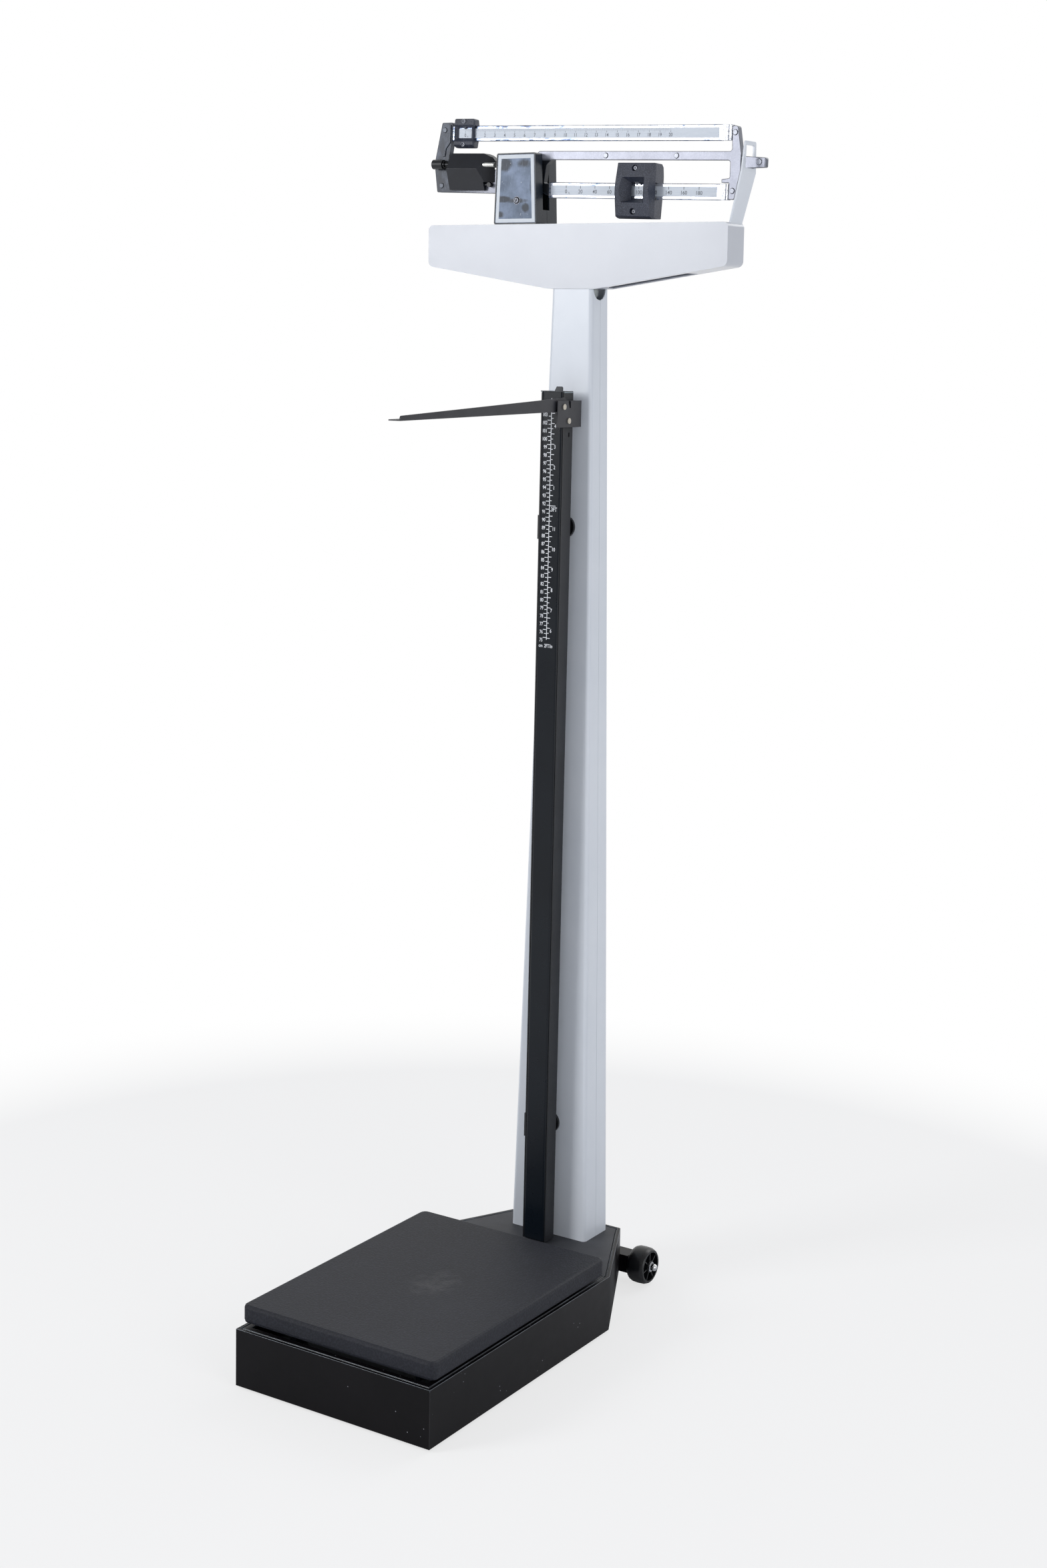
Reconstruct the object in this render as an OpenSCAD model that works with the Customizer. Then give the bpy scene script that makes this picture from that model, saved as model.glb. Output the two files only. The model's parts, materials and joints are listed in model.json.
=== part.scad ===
// Mechanical physician scale: a lever platform scale with an eye-level sliding-weight beam,
// a tapered column, a telescopic height rod with a folding measuring arm, and two rear wheels.
// Millimetres. X is to the right of the person who stands on it, Y runs from the platform to the
// column, Z is up, and the floor is z = 0.

/* [Base] */
// Width of the base housing
base_w = 276; // [240:1:340]
// Depth of the straight part of the base housing
base_straight = 381; // [330:1:460]
// Depth of the tapered rear part that carries the column
base_taper = 142; // [120:1:180]
// Width of the base at its rear edge
base_rear_w = 137; // [120:1:170]
// Height of the housing's side walls
base_h = 68.6; // [58:0.1:84]
// How far the side walls rise at the rear corners
skirt_rise = 16.4; // [8:0.1:20]
// Sheet thickness of the housing
base_t = 2; // [1.5:0.1:2.5]
// Height of the rubber feet below the side walls
foot_drop = 3; // [2:0.1:5]

/* [Platform] */
// Width of the platform cover
cover_w = 274; // [236:1:330]
// Depth of the platform cover
cover_d = 363; // [312:1:440]
// Height of the platform cover
cover_h = 20.4; // [16:0.1:26]
// Gap between the housing's rim and the cover
cover_gap = 6.2; // [4:0.1:9]
// Wall of the platform cover
cover_t = 3; // [2:0.1:4]

/* [Column] */
// Width of the column at its foot
col_w0 = 112; // [96:1:124]
// Width of the column at its top
col_w1 = 58; // [56:1:70]
// Depth of the column at its foot
col_d0 = 53.7; // [48:0.1:60]
// Depth of the column at its top
col_d1 = 38; // [37:0.1:44]
// Sheet thickness of the column's shells
col_t = 1.5; // [1:0.1:2]
// Height of the head box's flat underside above the floor
head_z = 1280; // [1120:1:1500]

/* [Head box] */
// Length of the head box
head_w = 435; // [400:1:500]
// Height of the head box in its middle
head_h = 80; // [70:1:96]
// Height of the head box at its ends
head_end_h = 52; // [44:1:60]
// Depth of the head box
head_d = 41; // [40:0.5:46]
// Sheet thickness of the head box
head_t = 1.5; // [1:0.1:2]

/* [Beam] */
// Angle by which the unloaded beam hangs down at its tip
beam_tilt = 1.6; // [0.5:0.1:3]
// Travel of the small weight for one kilogram
fine_pitch = 15.08; // [14:0.01:15.4]
// Travel of the large weight for one kilogram
coarse_pitch = 1.049; // [0.98:0.001:1.06]
// Height of the upper and lower bars
bar_h = 19.6; // [17:0.1:22]
// Thickness of the upper and lower bars
bar_t = 6; // [4:0.1:7]
// Thickness of the cast beam frame
cast_t = 8; // [6:0.1:9]

/* [Height rod] */
// Width of the rod's fixed channel
rod_w = 34; // [30:0.1:38]
// Depth of the rod's fixed channel
rod_d = 19.6; // [18:0.1:21]
// Height of the channel's top above the floor
rod_top = 1153; // [1040:1:1250]
// Wall of the channel
rod_t = 1.5; // [1.2:0.1:1.8]
// Length of the measuring arm from its pivot to its tip
arm_l = 334; // [290:1:400]

/* [Wheels] */
// Diameter of a wheel
wheel_dia = 47; // [42:0.5:48]
// Width of a wheel
wheel_w = 24; // [20:0.5:28]
// Number of spokes in a wheel
spokes = 7; // [5:1:9]

/* [Hidden] */
$fn = 48;

// Named clearances
run_fit = 0.05;
slide_gap = 0.35;
knife_gap = 0.2;
seat_gap = 0.2;

// Heights
skirt_z = foot_drop;
rim_z = skirt_z + base_h;
cover_z = rim_z + cover_gap;
platform_z = cover_z + cover_h;
head_top = head_z + head_h;

// Plan of the base, with x = 0 on the column
front_y = -187.5;
corner_y = front_y + base_straight;
rear_y = corner_y + base_taper;
base_x = base_w / 2;
rear_x = base_rear_w / 2;
corner_r = 7;
rim_w = 13;
groove_in = 4;
groove_w = 1.6;
groove_deep = 1.1;
plate_seam = 0.4;
plate_in = 6;
plate_front = corner_y - 4;

// Plan radius of the cover's corners, and the radius of its top edge
cover_r = 9;
cover_edge = 3.6;

// Column, with its rear face upright
col_back = rear_y - 14.7;
col_z0 = rim_z;
col_z1 = head_z + 20;
col_r = 5;
col_seam0 = col_back - 26.5;
col_seam1 = col_back - 18;
col_mid = col_back - 15;

// Head box
head_back = col_back + 1.3;
head_front = head_back - head_d;
head_x = head_w / 2;
head_flat = 35;
head_r = 6;
head_low_r = 8;
head_bend_r = 10;
stand_x = -86;
stand_top_w = 57.5;
stand_bot_w = 64;
stand_h = 88.5;
stand_r = 2.5;
stand_inset = 1.8;
stand_front = head_front + 1.3;
stand_d = 48.5;
stand_t = 2.4;
stand_seam = stand_front + 25;
stand_back = stand_front + stand_d;

// Beam: local x runs along the beam from the fulcrum, local z up from it
beam_y = head_front + 24.7;
ful_z = head_top + 61;
beam_range = 2.2;
load_arm = 15;
upper_w = 53.2;
mid_w = 25.75;
lower_w = -17.1;
mid_h = 10.6;
fine_zero = -92.5;
coarse_hundred = 168;
strip_t = 0.5;
strip_h = 12.2;
frame_left = -137.8;
frame_left_w = 9;
frame_right = 307;
screw_w = 13.3;
screw_y = -10.8;
screw_r = 3;
guide_y = -7.4;
guide_w = -11.5;
guide_r = 1.6;
post_u = -49.3;
post_r = 2.9;
weight_travel = 4;
boss_r = 6.2;
pointer_u1 = 340.6;
pointer_w = 18.3;
pointer_w1 = 18;
pointer_h0 = 14.6;
pointer_h1 = 11.6;
pointer_r = 3;
pointer_t = 6.4;
pointer_nose = 2;
beam_z0 = -22.4;
knife_s = 6;

// Lever train under the platform and in the head box
lever_y0 = front_y + 37.5;
nose_y = beam_y;
short_y0 = corner_y - 28.5;
link_y = (lever_y0 + short_y0) / 2;
knife_span = 14;
lever_x = 100;
lever_z = 45;
lever_h = 18;
short_z = 26;
short_h = 16;
rail_z = 8;
rail_t = 3;
rail_w = 50;
transfer_x = stand_x - load_arm - 89;
transfer_z = head_z + 50;
rod_hook_z = lever_z;

// Height rod, in its own frame that leans back with the column's front
rod_lean = 0.51;
rod_front = 234.5;
rod_z0 = rim_z + 1.5;
inner_gap = 0.4;
inner_w = rod_w - 2 * rod_t - 2 * inner_gap;
inner_proud = 1.6;
inner_t = 1.2;
inner_r = 3;
inner_bottom = rod_z0 + 1.2;
clip_z = [220, 985];
arm_pivot_y = -12.4;
arm_pivot_z = rod_top - 17.5;
arm_t = 1.5;
slider_h = 32.6;
slider_x = rod_w / 2 + 5.6;
slider_t = 1.5;

// Wheels
wheel_r = wheel_dia / 2;
wheel_x0 = 84;
wheel_y = rear_y + 12;
wheel_z = wheel_r + 1.5;
axle_r = 4;
bar_half = 80;
tube_d = 24;
tube_h = 23;
tube_t = 2;

// The whole object's box, which puts the origin at its bottom centre
beam_c = cos(beam_tilt);
beam_s = sin(beam_tilt);
box_x0 = stand_x + frame_left * beam_c + frame_left_w * beam_s;
box_x1 = stand_x + pointer_u1 * beam_c + (pointer_w1 + pointer_h1 / 2 - pointer_r) * beam_s;
mid_x = (box_x0 + box_x1) / 2;
mid_y = (front_y + wheel_y + wheel_r) / 2;

// Puts a piece in the frame whose origin is the bottom centre of the whole object
module placed() {
    translate([-mid_x, -mid_y, 0]) children();
}

// Puts a piece drawn along the beam at the beam's resting angle
module on_beam() {
    placed() translate([stand_x, beam_y, ful_z]) rotate([0, beam_tilt, 0]) children();
}

// Puts a piece drawn on the height rod at the rod's lean: local y = 0 is the channel's front
module on_rod() {
    placed() translate([0, rod_front, rim_z]) rotate([-rod_lean, 0, 0]) translate([0, 0, -rim_z]) children();
}

// Extrudes an outline drawn in x and z from y0 to y1
module plate_xz(y0, y1) {
    translate([0, y1, 0]) rotate([90, 0, 0]) linear_extrude(y1 - y0) children();
}

// Extrudes an outline drawn in y and z from x0 to x1
module plate_yz(x0, x1) {
    translate([x0, 0, 0]) rotate([90, 0, 90]) linear_extrude(x1 - x0) children();
}

// Rectangle with round corners, about its centre
module round_rect(w, d, r) {
    square([w - 2 * r, d], center = true);
    square([w, d - 2 * r], center = true);
    for (sx = [-1, 1], sy = [-1, 1]) translate([sx * (w / 2 - r), sy * (d / 2 - r)]) circle(r);
}

// Points of an outline whose corners [x, y, radius] are rounded with short arcs
function rounded(pts) = [
    for (i = [0:len(pts) - 1])
        let (
            p = [pts[i][0], pts[i][1]],
            before = pts[(i + len(pts) - 1) % len(pts)],
            after = pts[(i + 1) % len(pts)],
            u = unit([before[0], before[1]] - p),
            v = unit([after[0], after[1]] - p),
            half = acos(u * v) / 2,
            centre = p + unit(u + v) * pts[i][2] / sin(half),
            reach = pts[i][2] / tan(half),
            a = unit(p + u * reach - centre),
            b = unit(p + v * reach - centre)
        )
        for (k = [0:pts[i][2] > 0 ? arc_steps : 0])
            pts[i][2] > 0 ? centre + pts[i][2] * unit(a * (arc_steps - k) + b * k) : p
];
function unit(v) = v / norm(v);
arc_steps = 6;

// Box from one corner to the other
module block(a, b) {
    translate(a) cube(b - a);
}

// Cylinder along X, Y or Z from a point
module rod_x(p, r, l) {
    translate(p) rotate([0, 90, 0]) cylinder(r = r, h = l);
}

module rod_y(p, r, l) {
    translate(p) rotate([-90, 0, 0]) cylinder(r = r, h = l);
}

// Square bar on edge along X or Y, about its centre
module knife_x(p, s, l) {
    translate(p) rotate([45, 0, 0]) cube([l, s, s], center = true);
}

module knife_y(p, s, l) {
    translate(p) rotate([0, 45, 0]) cube([s, l, s], center = true);
}

// Base: plan outlines, inset by e from the outside
function chamfer_run() = base_x - rear_x;
function chamfer_len() = sqrt(pow(chamfer_run(), 2) + pow(base_taper, 2));
// Inset of the chamfer's ends along x for an inset e square to it
function chamfer_shift(e) = e * (chamfer_len() - chamfer_run()) / base_taper;
function rear_shift(e) = e * (chamfer_len() - base_taper) / chamfer_run();

module base_plan(e) {
    xs = base_x - e;
    ys = corner_y - e * (chamfer_len() - base_taper) / chamfer_run();
    xr = rear_x - e * (chamfer_len() - chamfer_run()) / base_taper;
    polygon([
        [-xs, front_y + e], [xs, front_y + e], [xs, ys], [xr, rear_y - e],
        [-xr, rear_y - e], [-xs, ys]
    ]);
}

module base_housing() color("#17171a") placed() {
    difference() {
        translate([0, 0, skirt_z]) linear_extrude(base_h) base_plan(0);
        // The hollow under the sheet
        translate([0, 0, skirt_z - 1]) linear_extrude(base_h - base_t + 1) base_plan(base_t);
        // The bay under the platform and the recess for the rear top plate
        block([-base_x + rim_w, front_y + rim_w, rim_z - 10], [base_x - rim_w, plate_front - 12, rim_z + 1]);
        translate([0, 0, rim_z - base_t - 1]) linear_extrude(base_t + 2) rear_plate_plan(-plate_seam);
        // The thin groove that runs round inside the top edge
        translate([0, 0, rim_z - groove_deep]) linear_extrude(groove_deep + 1) difference() {
            base_plan(groove_in);
            base_plan(groove_in + groove_w);
        }
        // The side walls rise towards the wheels
        plate_yz(-base_x - 1, base_x + 1)
            polygon([[corner_y, skirt_z - 1], [corner_y, skirt_z], [rear_y, skirt_z + skirt_rise], [rear_y + 1, skirt_z + skirt_rise], [rear_y + 1, skirt_z - 1]]);
    }
    // The ledge under the rear top plate
    difference() {
        translate([0, 0, rim_z - 2 * base_t]) linear_extrude(base_t) intersection() {
            base_plan(base_t);
            translate([-base_x, plate_front - 12]) square([base_w, rear_y]);
        }
        translate([0, 0, rim_z - 2 * base_t - 1]) linear_extrude(base_t + 2) rear_plate_plan(11);
    }
}

// Plan of the rear top plate, inset by e
module rear_plate_plan(e) {
    intersection() {
        base_plan(plate_in + e);
        translate([-base_x, plate_front + e]) square([base_w, rear_y]);
    }
}

module base_rails() color("#26272a") placed() {
    for (y = [lever_y0, short_y0]) {
        block(
            [-base_x + base_t, y - rail_w / 2, rail_z],
            [base_x - base_t, y + rail_w / 2, rail_z + rail_t]
        );
        for (sx = [-1, 1]) block(
            [min(sx * (base_x - base_t), sx * (base_x - base_t - rail_t)), y - rail_w / 2, rail_z + rail_t],
            [max(sx * (base_x - base_t), sx * (base_x - base_t - rail_t)), y + rail_w / 2, rail_z + 26]
        );
    }
}

module rubber_feet() color("#101012") placed() {
    for (sx = [-1, 1], y = [lever_y0 - 12, short_y0 + 12]) translate([sx * (base_x - 20), y, 0]) {
        cylinder(r = 12, h = rail_z);
        translate([0, 0, rail_z + rail_t]) cylinder(r = 6, h = 3);
    }
}

module rear_top_plate() color("#2b2c2f") placed() {
    difference() {
        translate([0, 0, rim_z - base_t]) linear_extrude(base_t) rear_plate_plan(0);
        // The opening for the draw rod and its stirrup
        block([-24, beam_y - 11, rim_z - base_t - 1], [24, beam_y + 11, rim_z + 1]);
    }
}

module wheel_bar() color("#141416") placed() {
    z0 = wheel_z - tube_h / 2;
    difference() {
        block([-bar_half, rear_y, z0], [bar_half, rear_y + tube_d, z0 + tube_h]);
        block([-bar_half + tube_t, rear_y + tube_t, z0 + tube_t], [bar_half - tube_t, rear_y + tube_d - tube_t, z0 + tube_h - tube_t]);
        for (sx = [-1, 1]) rod_x([sx * bar_half - 5, wheel_y, wheel_z], axle_r + run_fit, 10);
    }
    // The plugs that the axles screw into
    for (sx = [-1, 1]) difference() {
        rod_x([sx > 0 ? bar_half - 30 : -bar_half + tube_t, wheel_y, wheel_z], 8, 30 - tube_t);
        rod_x([sx * bar_half - 31, wheel_y, wheel_z], axle_r + run_fit, 62);
    }
}

module wheel_axles() color("#b9bcc0") placed() {
    for (sx = [-1, 1]) mirror([sx < 0 ? 1 : 0, 0, 0]) {
        rod_x([bar_half - 28, wheel_y, wheel_z], axle_r, wheel_x0 + wheel_w + 5 - bar_half + 28);
        rod_x([bar_half + 0.1, wheel_y, wheel_z], 6.5, wheel_x0 - bar_half - 0.4);
    }
}

module axle_nuts() color("#d8d9db") placed() {
    for (sx = [-1, 1]) mirror([sx < 0 ? 1 : 0, 0, 0]) difference() {
        union() {
            rod_x([wheel_x0 + wheel_w + 0.3, wheel_y, wheel_z], 6.2, 1);
            translate([wheel_x0 + wheel_w + 1.3, wheel_y, wheel_z]) rotate([0, 90, 0]) cylinder(r = 5, h = 4, $fn = 6);
            translate([wheel_x0 + wheel_w + 5.2, wheel_y, wheel_z]) rotate([0, 90, 0]) rotate_extrude()
                polygon([[0, 0], [4.5, 0], [4.4, 0.9], [3.9, 2.1], [3, 3.1], [1.6, 3.8], [0, 4]]);
        }
        rod_x([wheel_x0 + wheel_w - 1, wheel_y, wheel_z], axle_r + 0.02, 6.2);
    }
}

// One wheel with its crowned tread, web, hub and spokes, its inner face at x = 0
module wheel() {
    hub_r = 7.5;
    face_r = wheel_r - 2;
    rim_in = face_r - 3.4;
    web = 3;
    difference() {
        rotate([0, 90, 0]) rotate_extrude() polygon([
            [rim_in, 0], [face_r - 1, 0], [face_r, 1], [wheel_r - 0.4, 5], [wheel_r, wheel_w / 2],
            [wheel_r - 0.4, wheel_w - 5], [face_r, wheel_w - 1], [face_r - 1, wheel_w], [rim_in, wheel_w],
            [rim_in, wheel_w / 2 + web / 2], [hub_r, wheel_w / 2 + web / 2], [hub_r, wheel_w],
            [axle_r - 1, wheel_w], [axle_r - 1, 0], [hub_r, 0], [hub_r, wheel_w / 2 - web / 2],
            [rim_in, wheel_w / 2 - web / 2]
        ]);
        rod_x([-1, 0, 0], axle_r + run_fit, wheel_w + 2);
    }
    for (k = [0 : spokes - 1], side = [1, wheel_w / 2 + web / 2 - 0.01]) rotate([k * 360 / spokes, 0, 0])
        block([side, -0.7, hub_r - 0.5], [side + wheel_w / 2 - web / 2 - 1, 0.7, rim_in + 0.5]);
}

module wheel_right() color("#121214") placed() translate([wheel_x0, wheel_y, wheel_z]) wheel();

module wheel_left() color("#121214") placed() translate([-wheel_x0, wheel_y, wheel_z]) mirror([1, 0, 0]) wheel();

// Fork with two cheeks that carry a knife bar lying along X: the V opens upwards
module fork_up(x, y, z0, zk) {
    for (s = [-1, 1]) difference() {
        block([x + s * 11 - 3, y - 5.5, z0], [x + s * 11 + 3, y + 5.5, zk + 1.5]);
        knife_x([x, y, zk], knife_s + 2 * knife_gap, 60);
        block([x - 20, y - 4.4, zk], [x + 20, y + 4.4, zk + 5]);
    }
    block([x - 14, y - 5.5, z0], [x + 14, y + 5.5, min(z0 + 3, zk - 5)]);
}

module fulcrum_blocks() color("#6f7276") placed() {
    for (sx = [-1, 1]) {
        fork_up(sx * lever_x, lever_y0, rail_z + rail_t, lever_z);
        fork_up(sx * lever_x, short_y0, rail_z + rail_t, short_z);
    }
}

// Lever arms from the two knife bosses to the nose
module lever_plan(y0, y1, x0, x1, bar) {
    difference() {
        polygon([[-x0, y0], [x0, y0], [x1, y1], [-x1, y1]]);
        polygon([[-x0 + 2.2 * bar, y0 + sign(y1 - y0) * bar * 1.6], [x0 - 2.2 * bar, y0 + sign(y1 - y0) * bar * 1.6],
            [0.1, y1 - sign(y1 - y0) * bar * 3.4], [-0.1, y1 - sign(y1 - y0) * bar * 3.4]]);
    }
}

module main_lever() color("#3a3d40") placed() {
    z0 = lever_z - lever_h / 2;
    difference() {
        union() {
            translate([0, 0, z0]) linear_extrude(lever_h) {
                lever_plan(lever_y0 + knife_span + 7, nose_y + 9, lever_x + 6, 6, 12);
                for (sx = [-1, 1]) translate([sx * lever_x - 6, lever_y0 - 8]) square([12, knife_span + 16]);
                // The bridge that the short lever's link hangs from
                intersection() {
                    polygon([[-lever_x - 6, lever_y0], [lever_x + 6, lever_y0], [6, nose_y], [-6, nose_y]]);
                    translate([-lever_x, link_y - 11]) square([2 * lever_x, 22]);
                }
            }
        }
        for (sx = [-1, 1], y = [lever_y0, lever_y0 + knife_span])
            knife_x([sx * lever_x, y, lever_z], knife_s + 0.04, 20);
        knife_x([0, nose_y, lever_z], knife_s + 0.04, 30);
        // Room for the draw rod's stirrup beside the nose
        for (sx = [-1, 1]) block(
            [min(sx * 6, sx * 20), nose_y - 9, z0 - 1],
            [max(sx * 6, sx * 20), nose_y + 10, z0 + lever_h + 1]
        );
        // Room for the link of the short lever
        block([-11, link_y - 6, z0 - 1], [11, link_y + 6, lever_z + lever_h]);
        knife_x([0, link_y, lever_z], knife_s + 0.04, 36);
    }
}

module main_lever_knives() color("#a5a8ac") placed() {
    for (sx = [-1, 1], y = [lever_y0, lever_y0 + knife_span]) knife_x([sx * lever_x, y, lever_z], knife_s, 28);
    knife_x([0, nose_y, lever_z], knife_s, 26);
    knife_x([0, link_y, lever_z], knife_s, 34);
}

module short_lever() color("#3a3d40") placed() {
    z0 = short_z - short_h / 2;
    difference() {
        translate([0, 0, z0]) linear_extrude(short_h) {
            lever_plan(short_y0 - knife_span - 7, link_y - 9, lever_x + 6, 6, 11);
            for (sx = [-1, 1]) translate([sx * lever_x - 6, short_y0 - knife_span - 8]) square([12, knife_span + 16]);
        }
        for (sx = [-1, 1], y = [short_y0, short_y0 - knife_span])
            knife_x([sx * lever_x, y, short_z], knife_s + 0.04, 20);
        knife_x([0, link_y, short_z], knife_s + 0.04, 30);
        for (sx = [-1, 1]) block(
            [min(sx * 6, sx * 20), link_y - 12, z0 - 1],
            [max(sx * 6, sx * 20), link_y + 7, z0 + short_h + 1]
        );
    }
}

module short_lever_knives() color("#a5a8ac") placed() {
    for (sx = [-1, 1], y = [short_y0, short_y0 - knife_span]) knife_x([sx * lever_x, y, short_z], knife_s, 28);
    knife_x([0, link_y, short_z], knife_s, 20);
}

// Stirrup plate with two diamond holes, drawn flat in y and z about y = 0
module stirrup_plate(za, zb, half, pad) {
    difference() {
        translate([-half, za - pad]) square([2 * half, zb - za + 2 * pad]);
        for (z = [za, zb]) translate([0, z]) rotate(45) square(knife_s + 2 * knife_gap, center = true);
    }
}

module lever_link() color("#8d9094") placed() {
    for (sx = [-1, 1]) translate([0, link_y, 0])
        plate_yz(sx * 7.9 - 0.9, sx * 7.9 + 0.9) stirrup_plate(short_z, lever_z, 4.6, 6);
}

// A stirrup of two side plates and a bridge, at the end of a rod
module draw_rod() color("#9a9da1") placed() {
    translate([0, nose_y, 0]) {
        // The lower stirrup round the main lever's nose
        for (sx = [-1, 1]) plate_yz(sx * 10 - 1.2, sx * 10 + 1.2) difference() {
            translate([-6, rod_hook_z - 8]) square([12, 26]);
            translate([0, rod_hook_z]) rotate(45) square(knife_s + 2 * knife_gap, center = true);
        }
        block([-11.2, -6, rod_hook_z + 15], [11.2, 6, rod_hook_z + 18]);
        // The rod up the column
        translate([0, 0, rod_hook_z + 17]) cylinder(r = 2.5, h = transfer_z - 14 - rod_hook_z - 17);
        // The upper stirrup on the transfer lever
        for (sy = [-1, 1]) plate_xz(sy * 6 - 1, sy * 6 + 1) difference() {
            translate([-6, transfer_z - 15]) square([12, 22]);
            translate([0, transfer_z]) rotate(45) square(5 + 2 * knife_gap, center = true);
        }
        block([-6, -7, transfer_z - 17], [6, 7, transfer_z - 14]);
    }
}

module transfer_lever() color("#5d6064") placed() translate([0, beam_y, 0]) {
    difference() {
        plate_xz(-3, 3) polygon([
            [transfer_x - 8, transfer_z - 6], [transfer_x - 8, transfer_z + 6], [stand_x - load_arm, transfer_z + 8],
            [6, transfer_z + 5], [6, transfer_z - 5], [stand_x - load_arm, transfer_z - 8]
        ]);
        rod_y([transfer_x, -10, transfer_z], 3 + run_fit, 20);
    }
    for (x = [stand_x - load_arm, 0]) knife_y([x, 0, transfer_z], 5, 17);
}

module transfer_bracket() color("#7b7e82") placed() translate([0, beam_y, 0]) {
    front = head_front + head_t - beam_y + seat_gap;
    back = head_back - 2 * head_t - beam_y - seat_gap;
    for (y = [[front, -4], [4, back]]) difference() {
        plate_xz(y[0], y[1]) polygon([
            [transfer_x - 14, head_top - head_t - seat_gap], [transfer_x + 14, head_top - head_t - seat_gap],
            [transfer_x + 8, transfer_z - 8], [transfer_x - 8, transfer_z - 8]
        ]);
        rod_y([transfer_x, y[0] - 1, transfer_z], 3.02, y[1] - y[0] + 2);
    }
    rod_y([transfer_x, front + 1, transfer_z], 3, back - front - 2);
}

module beam_link() color("#9a9da1") placed() translate([stand_x - load_arm * beam_c, beam_y, 0]) {
    zl = ful_z + load_arm * beam_s;
    zb = head_top + 17;
    for (sy = [-1, 1]) {
        plate_xz(sy * 7 - 1, sy * 7 + 1) difference() {
            translate([-5, zb]) square([10, zl - zb + 6]);
            translate([0, zl]) rotate(45) square(5 + 2 * knife_gap, center = true);
        }
        plate_xz(sy * 6 - 1, sy * 6 + 1) difference() {
            translate([-6, transfer_z - 7]) square([12, 24]);
            translate([0, transfer_z]) rotate(45) square(5 + 2 * knife_gap, center = true);
        }
    }
    block([-5, -8, zb - 3], [5, 8, zb]);
    block([-6, -7, transfer_z + 17], [6, 7, transfer_z + 20]);
    translate([0, 0, transfer_z + 18]) cylinder(r = 2.5, h = zb - transfer_z - 19);
}

module platform_frame() color("#2f3134") placed() {
    z1 = platform_z - cover_t - seat_gap;
    cy = front_y + 8.5 + cover_d / 2;
    w = cover_w - 2 * cover_t - 2;
    d = cover_d - 2 * cover_t - 2;
    difference() {
        translate([0, cy, z1 - 14]) linear_extrude(14) round_rect(w, d, 9);
        translate([0, cy, z1 - 15]) linear_extrude(12.5) round_rect(w - 5, d - 5, 7);
    }
    // Stiffening ribs under the plate
    for (x = [-lever_x, 0, lever_x]) block([x - 2, cy - d / 2 + 3, z1 - 10], [x + 2, cy + d / 2 - 3, z1 - 1]);
    for (y = [lever_y0 + knife_span, short_y0 - knife_span]) block([-w / 2 + 3, y - 2, z1 - 10], [w / 2 - 3, y + 2, z1 - 1]);
    // The legs that stand on the load knives
    for (sx = [-1, 1]) {
        platform_leg(sx * lever_x, lever_y0 + knife_span, lever_z, z1 - 2);
        platform_leg(sx * lever_x, short_y0 - knife_span, short_z, z1 - 2);
    }
}

module platform_leg(x, y, zk, z1) {
    difference() {
        union() {
            for (s = [-1, 1]) block([x + s * 11 - 3, y - 5.5, zk - 1.5], [x + s * 11 + 3, y + 5.5, z1]);
            block([x - 14, y - 5.5, zk + 14], [x + 14, y + 5.5, z1]);
        }
        knife_x([x, y, zk], knife_s + 2 * knife_gap, 60);
        block([x - 20, y - 4.4, zk - 5], [x + 20, y + 4.4, zk]);
    }
}

module platform_cover() color("#2a2b2e") placed() {
    cy = front_y + 8.5 + cover_d / 2;
    r = cover_r;
    difference() {
        hull() {
            for (sx = [-1, 1], sy = [-1, 1]) translate([sx * (cover_w / 2 - r), cy + sy * (cover_d / 2 - r), 0]) {
                translate([0, 0, cover_z]) cylinder(r = r - 1, h = 1, $fn = 32);
                translate([0, 0, cover_z + 3]) cylinder(r = r, h = cover_h - 3 - cover_edge, $fn = 32);
                translate([0, 0, platform_z - 0.3 * cover_edge]) cylinder(r = r - 0.3 * cover_edge, h = 0.01, $fn = 32);
                translate([0, 0, platform_z - 0.01]) cylinder(r = r - cover_edge, h = 0.01, $fn = 32);
            }
        }
        translate([0, cy, cover_z - 1]) linear_extrude(cover_h - cover_t + 1)
            round_rect(cover_w - 2 * cover_t, cover_d - 2 * cover_t, r - cover_t);
    }
}

// The column's body, grown inwards by e
module column_body(e) {
    hull() {
        for (end = [[col_z0, col_w0, col_d0], [col_z1, col_w1, col_d1]], sx = [-1, 1]) {
            translate([sx * (end[1] / 2 - col_r), col_back - end[2] + col_r, end[0] - (end[0] == col_z0 ? e : -e)])
                cylinder(r = col_r - e, h = 0.01, $fn = 32);
            translate([sx * (end[1] / 2 - 2.5), col_back - 2.5, end[0] - (end[0] == col_z0 ? e : -e)])
                cylinder(r = 2.5 - e, h = 0.01, $fn = 32);
        }
    }
}

// One side of the column's seam: the part in front of it or the part behind it
module column_side(front) {
    y_out = front ? front_y : rear_y + 20;
    s = front ? -0.2 : 0.2;
    plate_yz(-col_w0, col_w0) polygon([
        [col_seam0 + s, col_z0 - 5], [col_seam1 + s, col_z1 + 5], [y_out, col_z1 + 5], [y_out, col_z0 - 5]
    ]);
}

module column_shell(front) {
    difference() {
        intersection() {
            column_body(0);
            column_side(front);
        }
        column_body(col_t);
        // The round access holes under the head box
        rod_x([-col_w1, col_mid - 5, head_z + 1], 14.5, 2 * col_w1);
    }
}

module column_front_shell() color("#dfe3ea") placed() column_shell(true);

module column_rear_shell() color("#dfe3ea") placed() column_shell(false);

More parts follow.
